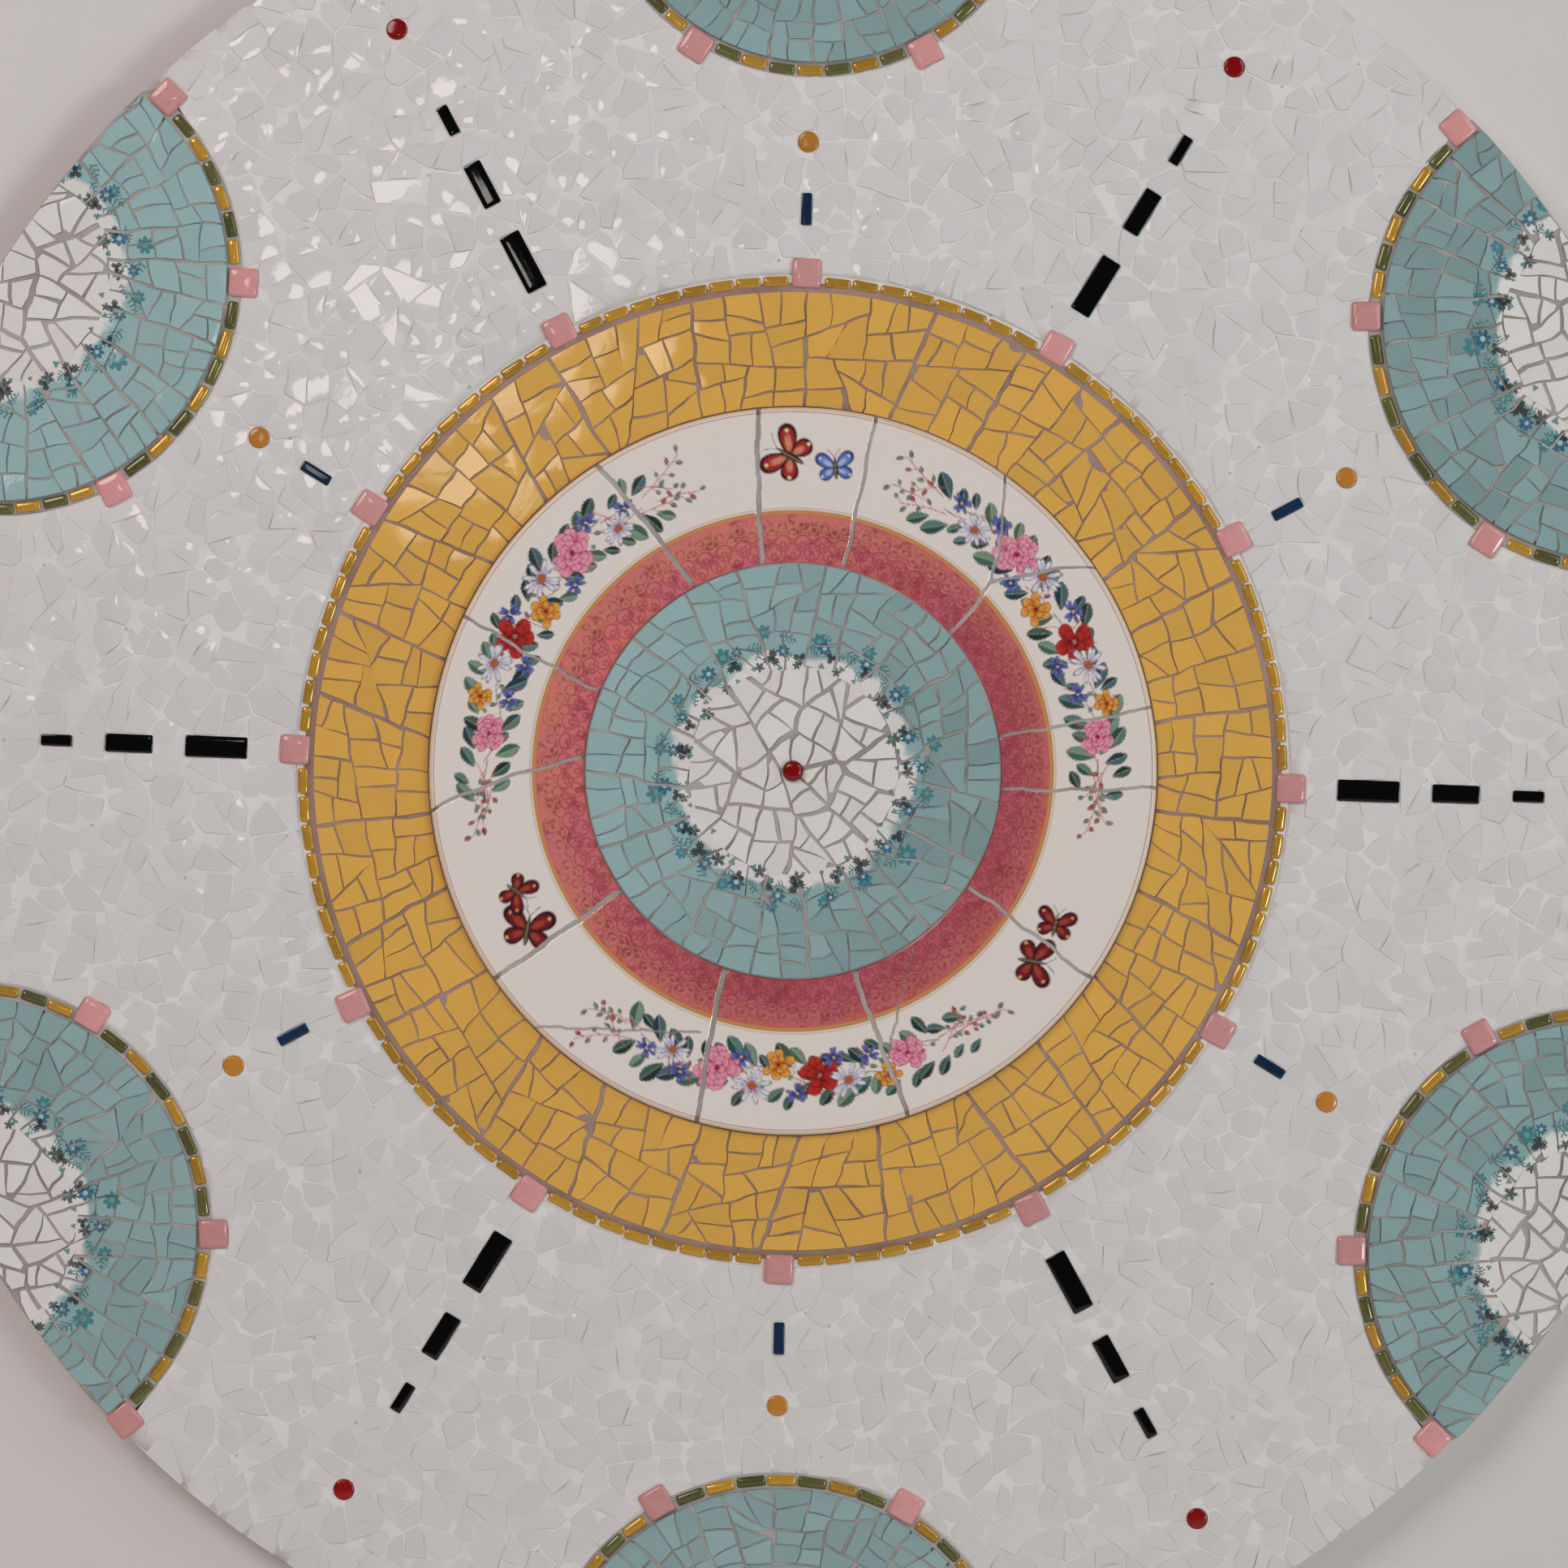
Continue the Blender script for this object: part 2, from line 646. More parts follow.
def plate_top(drop=0.0):
    """The top of the rim of the plate: rising straight outwards and rounded over at its edge."""
    def height(points):
        radius = np.linalg.norm(points, axis=-1)
        rise = np.interp(radius, [PLATE_IN_R, PLATE_R - PLATE_ROUND], [PLATE_IN_TOP, PLATE_TOP])
        over = np.clip((radius - PLATE_R + PLATE_ROUND) / PLATE_ROUND, 0, 1)
        return rise - PLATE_ROUND * (1 - np.sqrt(1 - over * over)) - drop
    return height


def rounded_block(length, width, corner, per_corner=4):
    """A rectangle with round corners about the origin, counter-clockwise."""
    turns = np.repeat(np.arange(4) * 90.0, per_corner) + np.tile(np.linspace(0, 90, per_corner), 4)
    signs = np.repeat([[1, 1], [-1, 1], [-1, -1], [1, -1]], per_corner, axis=0)
    middle = signs * [length / 2 - corner, width / 2 - corner]
    return middle + polar(corner, turns)


def placed(shape, centres, degrees):
    """Copies of one outline, each turned by its angle and moved to its centre."""
    copies = np.broadcast_to(shape, (len(centres),) + shape.shape)
    return turned(copies, np.radians(degrees)[:, None]) + centres[:, None]


# ---- the layout

def inlay(index, key, at, length=0.0, width=0.0):
    """An inlay of a spoke with the slip it has taken, as a block: centre, angle, length, width."""
    out, turn = SLIPS[key][index]
    degrees = spoke(index, turn + (HALF_SPOKE if key == "blue" else 0))
    return polar(at + out, degrees), degrees, length, width


def edging_pinks():
    return [(polar(PINK_R, pink_angle(number)), pink_angle(number), PINK_SIDE, PINK_SIDE)
            for number in range(12)]


def medallion_pinks(index):
    centre, inward, grow = medallion_plan(index)
    return [(polar(MEDALLION_PINK_R + grow, inward + turn, centre), inward + turn, PINK_SIDE, PINK_SIDE)
            for turn in MEDALLION_PINK_TURNS]


def inlay_discs(index):
    """Middles of the ochre and the red disc of a spoke."""
    return {"ochre": inlay(index, "blue", OCHRE_DISC_R)[0], "red": inlay(index, "red", RED_DISC_R)[0]}


def around_circle(centre, radius, stand, spacing, rng):
    """Seeds in a ring just outside a circle, evenly spaced but for a little shake."""
    count = max(5, round(2 * np.pi * (radius + stand) / spacing))
    angles = (np.arange(count) + rng.uniform(-0.18, 0.18, count)) * 360 / count + rng.uniform(0, 360)
    return polar(radius + stand + rng.uniform(-0.6, 0.6, count), angles, centre)


def around_block(block, stand, spacing):
    """Seeds beside each side of a block, so that shards lie along it."""
    centre, degrees, length, width = block
    seeds = []
    for side, (run, reach) in enumerate(((width, length), (length, width)) * 2):
        count = max(1, round(run / spacing))
        places = (np.arange(count) + 0.5) / count * run - run / 2
        local = np.stack([np.full(count, reach / 2 + stand), places], axis=1)
        seeds.append(turned(local, np.full(count, np.radians(degrees + 90 * side))) + centre)
    return np.concatenate(seeds)


def field_cells(size, largest, gap, halo, seed):
    """The white field: shards laid round everything that is set into it."""
    rng = np.random.default_rng(seed)
    blocks = edging_pinks()
    discs = []
    circles = [(np.zeros(2), EDGING_R)]
    for index in range(SPOKES):
        blocks += [inlay(index, "black", *size) for size in BLACK_BARS.values()]
        blocks += medallion_pinks(index)
        blocks.append(inlay(index, "blue", *BLUE_BAR))
        discs += [(place, DISC_R) for place in inlay_discs(index).values()]
        centre, inward, grow = medallion_plan(index)
        circles.append((centre, MEDALLION_EDGING_R + grow))
    stand = size * 0.42
    guides = [around_block(block, stand, size) for block in blocks]
    guides += [around_circle(*circle, stand, size * 0.8, rng) for circle in discs]
    guides += [around_circle(*circle, stand, size * 0.95, rng) for circle in circles]
    rim = round(2 * np.pi * PANEL_R / size)
    guides.append(polar(PANEL_R - stand, (np.arange(rim) + rng.uniform(-0.2, 0.2, rim)) * 360 / rim))
    rows = np.arange(-PANEL_R, PANEL_R, size * 0.866)
    columns = np.arange(-PANEL_R, PANEL_R, size)
    grid = np.stack(np.meshgrid(columns, rows), axis=-1)
    grid[1::2, :, 0] += size / 2
    grid = grid.reshape(-1, 2) + rng.uniform(-0.5, 0.5, (grid.size // 2, 2)) * size
    seeds = np.concatenate(guides + [grid])
    clear = np.linalg.norm(seeds, axis=1) < PANEL_R - 3.5
    for centre, radius in circles + discs:
        clear &= np.linalg.norm(seeds - centre, axis=1) > radius + 3.5
    for block in blocks:
        clear &= np.linalg.norm(nearest_on_block(seeds, block) - seeds, axis=1) > 3.5
    cells = voronoi(thin_out(seeds[clear], size * 0.6), gap)
    for centre, radius in circles + discs:
        keep_outside_circle(cells, centre, radius, halo)
    for block in blocks:
        keep_outside_block(cells, block, halo)
    keep_inside_circle(cells, (0.0, 0.0), PANEL_R - 0.3, 0.0)
    cells = split(cells, rng, largest, gap * 0.8, swerve=0.6, rounds=3)
    settle(cells, 16)
    return open_joints(cells, rng, 0.035, 0.5), rng


def ring_cells(centre, inner, outer, blocks, largest, gap, crack, rng, span=None):
    """A ring of crockery, parted into blocks gap apart and each block broken on by finer cracks."""
    start, sweep = span or (rng.uniform(0, 360), 360.0)
    angles = start + (np.arange(blocks + 1) + np.append(rng.uniform(-0.2, 0.2, blocks), 0)) * sweep / blocks
    if span is None:
        angles[-1] = angles[0] + 360
    cells = split(ring_blocks(centre, inner, outer, angles, rng, gap), rng, largest, crack, 0.22, 7, centre)
    settle(cells, 18)
    return cells


def well_cells(centre, radius, size, gap, rng):
    """The middle of a dish: shards of about one size, wherever the breaks fell."""
    rows = np.arange(-radius - size, radius + size, size)
    grid = np.stack(np.meshgrid(rows, rows), axis=-1).reshape(-1, 2)
    grid = turned(grid, np.full(len(grid), rng.uniform(0, 6.3))) + rng.uniform(-0.36, 0.36, grid.shape) * size
    grid = thin_out(grid[np.linalg.norm(grid, axis=1) < radius - 0.25 * size], 0.5 * size) + centre
    cells = voronoi(grid, gap)
    keep_inside_circle(cells, centre, radius, 0.0)
    cells = split(cells, rng, (0.62 * size) ** 2, 0.7 * gap, 0.16, 3)
    settle(cells, 18)
    return cells


def medallion_cells(index, rng, size):
    """Half a dish: its ring and its middle, cut off by the edge of the panel."""
    centre, inward, grow = medallion_plan(index)
    inner = MEDALLION_BREAK_R + grow / 2
    ring = ring_cells(centre, inner, MEDALLION_DISH_R + grow, MEDALLION_BLOCKS, size * size, 0.9, 0.6, rng,
                      (inward - MEDALLION_SWEEP / 2, MEDALLION_SWEEP))
    parts = []
    for cells in (ring, well_cells(centre, inner - 1.1, size * WELL_CHUNK, 1.3, rng)):
        points = outline(cells, 18)
        inside = np.linalg.norm(points, axis=2) < PANEL_R - 1.0
        cells.seeds = (points * inside[..., None]).sum(axis=1) / np.maximum(inside.sum(axis=1), 1)[:, None]
        cells = cells.pick(inside.sum(axis=1) > 2)
        keep_inside_circle(cells, (0.0, 0.0), PANEL_R - 0.4, 0.0)
        settle(cells, 18)
        parts.append(open_joints(cells, rng, 0.03, 0.6))
    return parts


# ---- small pieces

def cushions(shape, centres, degrees, base, top, shoulder, arch, rng, tilt=0.012):
    """Pieces of one rounded shape, each placed and turned: a wall, a shoulder that is a quarter of a
    circle, then a top that falls away as the square of x and the fourth power of y. arch holds the two
    falls. Each piece is tilted and lifted a little in its own way."""
    half = np.abs(shape).max(axis=0)
    turns = np.radians([0, 0, 30, 60, 90])
    inner = shoulder + (half.min() - shoulder) * np.array([0.4, 0.8])
    insets = np.append(shoulder * (1 - np.cos(turns)), inner)
    rings = shape * ((half - insets[:, None]) / half)[:, None]
    share = rings / half
    fall = arch[0] * share[..., 0] ** 2 + arch[1] * share[..., 1] ** 4
    drop = np.append(shoulder * (1 - np.sin(turns)), [0, 0])
    height = top - fall - drop[:, None]
    height[0] = base
    sides, count = len(shape), len(centres)
    flat = np.concatenate([rings.reshape(-1, 2), np.zeros((1, 2))])
    height = np.append(height.ravel(), top)
    slope = rng.normal(0, tilt, (count, 2))
    rise = np.where(np.arange(len(flat)) < sides, 0.0, slope @ flat.T + rng.normal(0, 0.06, (count, 1)))
    flat = placed(flat, centres, degrees)
    solid = np.concatenate([flat, (height + rise)[..., None]], axis=2)
    stride = solid.shape[1]
    faces = [repeated(part, count, stride) for part in solid_faces(len(rings), sides)]
    values = {"tone": np.repeat(rng.uniform(0, 1, count), stride),
              "tint": np.repeat(rng.uniform(0, 1, count), stride)}
    return solid.reshape(-1, 3), faces, values


def circle(radius, sides):
    return polar(radius, np.arange(sides) * 360 / sides)


def rod_row(centre, radius, start, end, count):
    """Middles, turns and length of rods laid end to end on an arc between two pink tiles."""
    tile = np.degrees((PINK_SIDE / 2 + ROD_GAP) / radius)
    pitch = (end - start - 2 * tile) / count
    degrees = start + tile + pitch * (np.arange(count) + 0.5)
    length = 2 * radius * math.tan(math.radians(pitch) / 2) - ROD_GAP
    return polar(radius, degrees, centre), degrees, length


def rods(centres, degrees, length, corner, rng):
    """Glass rods, each a little off its place and its angle."""
    shape = rounded_block(ROD_W, length, corner, 3)
    centres = centres + rng.normal(0, 0.12, centres.shape)
    degrees = degrees + rng.normal(0, 1.0, len(degrees))
    return cushions(shape, centres, degrees, GROUT_TOP - ROD_SUNK, ROD_TOP, ROD_SHOULDER, ROD_ARCH, rng, 0.02)


def pink_tiles(blocks, rng):
    centres = np.array([block[0] for block in blocks])
    degrees = np.array([block[1] for block in blocks]) + rng.normal(0, 1.5, len(blocks))
    shape = rounded_block(PINK_SIDE, PINK_SIDE, 1.3, 4)
    return cushions(shape, centres, degrees, 15.6, PINK_TOP, 1.1, (0.45, 0.45), rng, 0.02)


def half_dish_border(centre, radius, steps=120):
    """The edge of a medallion: rays from a point well inside it stop at its own circle or at the edge
    of the panel, whichever comes first. Returns the edge and that point."""
    inward = unit(-centre)
    middle = centre + inward * 35.0
    rays = polar(1.0, np.arange(steps) * 360 / steps)
    reach = []
    for about, limit in ((centre, radius), (np.zeros(2), PANEL_R - 0.2)):
        offset = middle - about
        along = dot(rays, offset)
        reach.append(-along + np.sqrt(along ** 2 + limit ** 2 - dot(offset, offset)))
    return middle + rays * np.minimum(*reach)[:, None], middle


def medallion_reach(steps, radius):
    """How far from the middle of the panel the white ground can run at each angle before it meets a
    medallion or the edge of the panel."""
    angles = np.arange(steps) * 360 / steps
    reach = np.full(steps, PANEL_R - 0.7)
    for index in range(SPOKES):
        centre, inward, grow = medallion_plan(index)
        along = polar(1.0, angles) @ centre
        across = polar(1.0, angles + 90) @ centre
        inside = (radius + grow) ** 2 - across ** 2
        meets = (inside > 0) & (along > 0)
        reach = np.where(meets, np.minimum(reach, along - np.sqrt(np.maximum(inside, 0))), reach)
    return reach


# ---- the plate

def break_angles(path, radius):
    """The angle of a break at each radius; path holds (radius, angle) from the rim inwards."""
    knots = np.array(path)[::-1]
    return np.interp(radius, knots[:, 0], knots[:, 1])


def wander(radius, size, seed):
    """How far a break strays from its line, in millimetres: a few sines of the radius."""
    rng = np.random.default_rng(seed)
    total = np.zeros_like(radius)
    for wave in (23.0, 9.0, 3.7, 1.9):
        total += np.sin(radius * 2 * np.pi / wave + rng.uniform(0, 6.3)) * rng.uniform(0.4, 1.0) * wave / 23
    return total * size


def plate_rows(step):
    """The radii of the rows of points across the rim, close together where it is painted."""
    return np.concatenate([
        np.linspace(PLATE_IN_R, PLATE_GOLD_R - 3, 14),
        np.arange(PLATE_GOLD_R - 2.6, PLATE_R - PLATE_ROUND, step),
        PLATE_R - PLATE_ROUND * (1 - np.sin(np.radians([0, 20, 40, 60, 78, 90])))])


def plate_shard(first, last, step, base, seed):
    """A shard of the rim between two breaks: a grid of radius by angle on top, whose sides stand half a
    joint away from the breaks, then walls down to base and a flat underside. The top drops by a fine
    bevel along its inner, outer and first sides."""
    radius = plate_rows(step)
    near = break_angles(first["path"], radius)
    far = break_angles(last["path"], radius)
    after = first["width"] / 2 + wander(radius, 0.5, first["seed"]) + wander(radius, 0.1, seed)
    before = last["width"] / 2 - wander(radius, 0.5, last["seed"]) + wander(radius, 0.1, seed + 50)
    start = near + np.degrees(after / radius)
    end = far - np.degrees(before / radius)
    wide = np.radians(end - start) * radius > 0.8
    radius, start, end = radius[wide], start[wide], end[wide]
    columns = max(8, int(np.radians(end - start).max() * 112 / step))
    share = np.linspace(0, 1, columns)
    angles = start + (end - start) * share[:, None]
    flat = polar(np.broadcast_to(radius, angles.shape), angles)
    height = plate_top()(flat)
    height[0] -= PLATE_BEVEL
    height[-1] -= PLATE_BEVEL
    height[:, 0] -= PLATE_BEVEL
    rows, across = angles.shape
    numbers = np.arange(rows * across).reshape(rows, across)
    border = np.concatenate([numbers[0, :-1], numbers[:-1, -1], numbers[-1, :0:-1], numbers[:0:-1, 0]])
    top = np.concatenate([flat, height[..., None]], axis=2).reshape(-1, 3)
    low = top[border].copy()
    low[:, 2] = base
    under = len(top) + np.arange(len(border))
    i = np.arange(len(border))
    j = (i + 1) % len(border)
    walls = np.stack([under[i], under[j], border[j], border[i]], axis=1)
    return np.concatenate([top, low]), [grid_faces(rows, across), walls, under[::-1][None]]


class Painting:
    """Colours laid one over another on the points of a surface, each with a soft edge."""

    def __init__(self, points, ground):
        self.points = points
        self.colour = np.tile(np.asarray(ground, float), (len(points), 1))

    def near(self, centre, reach, degrees):
        """The numbers of the points close to a motif and their places seen from it."""
        away = self.points - centre
        index = np.flatnonzero((np.abs(away) < reach).all(axis=1))
        return index, turned(away[index], np.full(len(index), -math.radians(degrees)))

    def lay(self, index, cover, colour):
        cover = np.clip(cover, 0, 1)[:, None]
        self.colour[index] += (np.asarray(colour) - self.colour[index]) * cover


def covered(distance, soft=0.4):
    """1 inside a shape, 0 outside, with a soft edge; distance is signed, in millimetres."""
    return np.clip(0.5 - distance / soft, 0, 1)


def paint(red, green, blue):
    """A paint that comes out as this screen colour on the stage."""
    shown = np.array([red, green, blue]) / 255
    linear = np.where(shown <= 0.04045, shown / 12.92, ((shown + 0.055) / 1.055) ** 2.4)
    return np.clip(linear / WHITE_SHOWN, 0, 0.9)


LEAF_GREENS = (
    (paint(84, 116, 108), paint(46, 72, 66)), (paint(62, 88, 80), paint(34, 50, 46)),
    (paint(112, 136, 116), paint(66, 92, 78)), (paint(70, 96, 104), paint(40, 56, 62)))
STEM = paint(124, 84, 74)
SPRAY = paint(168, 70, 72)
DARK_LINE = paint(60, 44, 48)


def paint_leaf(picture, centre, degrees, length, width, greens):
    """A leaf: as wide as a sine along its length, one half darker, with a pale rib and faint veins."""
    index, place = picture.near(centre, length, degrees)
    x, y = place[:, 0], place[:, 1]
    along = np.clip(x / length + 0.5, 0, 1)
    edge = np.abs(y) - width / 2 * np.sin(np.pi * along ** 0.8) * (1 + 0.06 * np.sin(x * 4.5))
    edge = np.where(np.abs(x) > length / 2, 9.0, edge)
    picture.lay(index, covered(edge - 0.22), DARK_LINE)
    picture.lay(index, covered(edge), greens[0])
    picture.lay(index, covered(np.maximum(edge, y)), greens[1])
    veins = np.abs(np.sin((x - np.abs(y) * 0.9) * 2 * np.pi / 1.7)) * 0.5 - 0.12
    picture.lay(index, covered(np.maximum(veins, edge + 0.3)) * 0.35, greens[1])
    picture.lay(index, covered(np.maximum(np.abs(y) - 0.1, edge), 0.3) * 0.6, paint(176, 184, 160))


def paint_stem(picture, centre, degrees, length, bend, thick, ink):
    """A thin line that leaves a point and curves as the square of the way along it."""
    index, place = picture.near(centre, length * 1.2, degrees)
    x, y = place[:, 0], place[:, 1]
    off = np.abs(y - bend * (x / length) ** 2 * length) - thick / 2
    picture.lay(index, covered(np.where((x < 0) | (x > length), 9.0, off), 0.35), ink)


def paint_spray(picture, centre, degrees, length, bend, rng):
    """A fine spray: a curved stem with small buds on short stalks to either side of it."""
    paint_stem(picture, centre, degrees, length, bend, 0.3, SPRAY)
    count = int(length / 2.6)
    for number in range(2, count + 1):
        x = length * number / count
        along = np.array([x, bend * (x / length) ** 2 * length])
        on = centre + turned(along, np.array(math.radians(degrees)))
        side = 1 if number % 2 else -1
        way = degrees + side * rng.uniform(30, 60) + math.degrees(2 * bend * x / length)
        stalk = rng.uniform(1.4, 3.0)
        paint_stem(picture, on, way, stalk, 0.1 * side, 0.25, SPRAY)
        bud = on + polar(stalk + 0.5, way)
        inks = ((paint(176, 44, 52), paint(120, 24, 34)), LEAF_GREENS[2], LEAF_GREENS[0])[rng.integers(0, 3)]
        paint_leaf(picture, bud, way, rng.uniform(1.8, 3.0), rng.uniform(0.9, 1.4), inks)


def paint_flower(picture, centre, degrees, size, kind):
    """A flower: rings of petals laid from the outside in, each petal an oval, wider at its tip, that
    fades from a deep foot to a light tip with streaks along it and a fine outline; then an eye with a
    ring of dots. The whole is a little flattened, as if seen from one side."""
    rings, line, light, deep, eye, eye_size = FLOWERS[kind]
    index, place = picture.near(centre, size * 0.66, degrees)
    x, y = place[:, 0] / size, place[:, 1] / size * 1.15
    for row, (count, out, length, width) in enumerate(rings):
        for number in range(count):
            way = (number + 0.5 * (row % 2)) * 2 * math.pi / count + 0.25 * math.sin(number * 2.3 + row)
            along = (x * math.cos(way) + y * math.sin(way) - out) / length
            across = (y * math.cos(way) - x * math.sin(way)) / width
            edge = (np.hypot(along, across * (1.25 - along * 0.5)) - 0.5) * min(length, width) * size
            tip = np.clip(along * 1.2 + 0.55 + 0.18 * np.sin(across * 19.0), 0, 1)[:, None]
            picture.lay(index, covered(edge - 0.16, 0.3), line)
            picture.lay(index, covered(edge + 0.05, 0.3), deep + (light - deep) * tip)
    radius = np.hypot(x, y) * size
    picture.lay(index, covered(radius - size * eye_size), eye)
    dots = np.sin(np.arctan2(y, x) * 9) > 0
    picture.lay(index, covered(np.abs(radius - size * eye_size) - 0.2) * dots, line)


def paint_butterfly(picture, centre, degrees, size, inks):
    """A butterfly: two pairs of wings, each an ellipse with a dark border and pale spots, a slim body
    and two feelers. inks holds border, wing, blush and spot."""
    border, wing, blush, spot = inks
    for side in (1, -1):
        for turn, reach, long_, wide in ((52, 0.33, 0.62, 0.36), (118, 0.26, 0.46, 0.34)):
            middle = centre + polar(size * reach, degrees + side * turn)
            index, place = picture.near(middle, size * 0.5, degrees + side * turn)
            x, y = place[:, 0] / (size * long_ / 2), place[:, 1] / (size * wide / 2)
            flare = 1 + 0.3 * x
            edge = (np.sqrt(x * x + (y / flare) ** 2) - 1) * size * wide / 2
            picture.lay(index, covered(edge), border)
            picture.lay(index, covered(edge + size * 0.045), wing)
            picture.lay(index, covered(np.hypot(x + 0.25, y * 1.4) * 2 - 1.0, 0.8), blush)
            veins = np.abs(np.sin(np.arctan2(y, x + 1.3) * 9)) - 0.25
            picture.lay(index, covered(np.maximum(veins, edge + size * 0.05)) * 0.5, border)
            picture.lay(index, covered(np.hypot(place[:, 0] - size * 0.17, place[:, 1]) - size * 0.035), spot)
    paint_leaf(picture, centre, degrees, size * 0.62, size * 0.1, (paint(96, 66, 48), paint(50, 34, 30)))
    for side in (1, -1):
        paint_stem(picture, centre + polar(size * 0.28, degrees), degrees + side * 24, size * 0.3,
                   0.25 * side, 0.22, DARK_LINE)


# Flowers of a garland: kind, millimetres along it and across it from its middle, and size.
GARLAND = (
    ("blue", -55.0, 3.0, 8.0), ("daisy", -47.0, -2.0, 12.5), ("blue", -39.5, 5.5, 8.5),
    ("orange", -6.5, -5.0, 13.0), ("rose", -29.0, 0.5, 19.0), ("daisy", -15.0, 3.5, 14.5),
    ("blue", -21.5, -7.0, 8.0), ("blue", 1.5, 6.5, 8.5), ("poppy", 9.5, 0.0, 16.0),
    ("blue", 16.0, -7.5, 8.0), ("daisy", 21.5, 3.0, 14.0), ("blue", 31.0, -4.5, 8.5),
    ("orange", 34.0, 4.5, 10.5), ("rose", 45.5, -0.5, 14.5))
GARLAND_R = 114.0
GARLANDS = ((150.0, 1, 3), (30.0, -1, 4), (-90.0, 1, 5))
FLOWERS = {
    "daisy": (((13, 0.30, 0.42, 0.14),), paint(98, 86, 112), paint(228, 221, 226), paint(162, 148, 176),
              paint(164, 84, 40), 0.12),
    "blue": (((8, 0.28, 0.42, 0.19),), paint(44, 42, 84), paint(104, 112, 172), paint(44, 50, 112),
             paint(196, 176, 130), 0.08),
    "orange": (((6, 0.29, 0.40, 0.34), (5, 0.14, 0.28, 0.24)), paint(104, 38, 24), paint(218, 152, 66),
               paint(170, 62, 28), paint(104, 34, 28), 0.05),
    "poppy": (((5, 0.28, 0.46, 0.44), (4, 0.14, 0.30, 0.28)), paint(70, 14, 18), paint(172, 46, 40),
              paint(96, 14, 18), paint(150, 110, 90), 0.06),
    "rose": (((7, 0.32, 0.34, 0.36), (6, 0.22, 0.32, 0.32), (5, 0.12, 0.27, 0.27), (3, 0.05, 0.2, 0.2)),
             paint(142, 38, 64), paint(228, 142, 160), paint(176, 44, 76), paint(140, 30, 60), 0.05)}
RED_WINGS = (paint(58, 22, 28), paint(150, 44, 46), paint(198, 128, 98), paint(226, 206, 150))
DARK_WINGS = (paint(44, 18, 24), paint(108, 28, 34), paint(150, 62, 48), paint(206, 160, 96))
BLUE_WINGS = (paint(40, 46, 96), paint(92, 112, 176), paint(156, 170, 206), paint(232, 226, 206))

# Butterflies on the rim: the angle and radius they sit at, the way they face, size and inks.
BUTTERFLIES = (
    (90.5, 117.0, 150.0, 19.0, RED_WINGS), (82.0, 113.5, 95.0, 13.5, BLUE_WINGS),
    (-30.5, 113.0, 75.0, 14.0, DARK_WINGS), (-38.5, 113.5, -10.0, 17.0, DARK_WINGS),
    (-149.0, 115.0, 80.0, 18.5, DARK_WINGS), (-156.5, 112.0, -35.0, 14.0, DARK_WINGS))

# Gilt lines round the plate: radius, width and colour.
GILT_LINES = (
    (PLATE_GOLD_R, 0.9, paint(206, 150, 70)), (PLATE_GOLD_R + 1.3, 0.25, paint(196, 140, 90)),
    (133.3, 0.3, paint(168, 112, 84)), (134.3, 0.55, paint(216, 170, 118)))


def paint_garland(picture, middle, way, seed):
    """A garland laid along an arc: a wavy stem, leaves along it, sprays at its ends and outwards, and
    the flowers over them."""
    rng = np.random.default_rng(seed)

    def spot(along, across):
        degrees = middle + way * math.degrees(along / GARLAND_R)
        return polar(GARLAND_R + across, degrees), degrees + 90 * way

    for along in np.arange(-60, 62, 7.2):
        across = 4.0 * math.sin(along / 9)
        place, turn = spot(along, across)
        lean = (1 if rng.uniform() < 0.5 else -1) * rng.uniform(0, 18)
        paint_stem(picture, place, turn + lean, 9.0, rng.uniform(-0.2, 0.2), 0.35, STEM)
    for number, along in enumerate(np.arange(-66, 68, 3.1)):
        side = 1 if number % 2 else -1
        place, turn = spot(along + rng.uniform(-1.5, 1.5), side * rng.uniform(4.5, 9.5))
        length = rng.uniform(6.0, 11.0)
        greens = LEAF_GREENS[rng.integers(0, len(LEAF_GREENS))]
        paint_leaf(picture, place, turn + way * side * rng.uniform(20, 75), length, length * 0.46, greens)
    for along, across, lean, length in (
            (-62, 2, 196, 20), (-58, -3, 172, 17), (-62, 6, 158, 13), (60, 1, 8, 23), (56, 4, 34, 16),
            (58, -4, -24, 15), (-44, 8, 120, 9), (46, -8, -60, 9), (-18, 8, 70, 8), (14, 9, 100, 8),
            (0, -9, -80, 7), (26, -9, -65, 8), (-30, -9, -115, 7), (33, 9, 65, 8), (-8, -8, -100, 9),
            (-36, 9, 110, 8), (4, 9, 80, 9), (40, -8, -40, 10), (-66, -2, 180, 15), (64, -2, -6, 15)):
        place, turn = spot(along, across)
        paint_spray(picture, place, turn + way * lean, length, rng.uniform(-0.3, 0.3), rng)
    for kind, along, across, size in GARLAND:
        place, turn = spot(along + rng.uniform(-1.5, 1.5), across + rng.uniform(-1.0, 1.0))
        paint_flower(picture, place, turn + rng.uniform(-40, 40), size, kind)


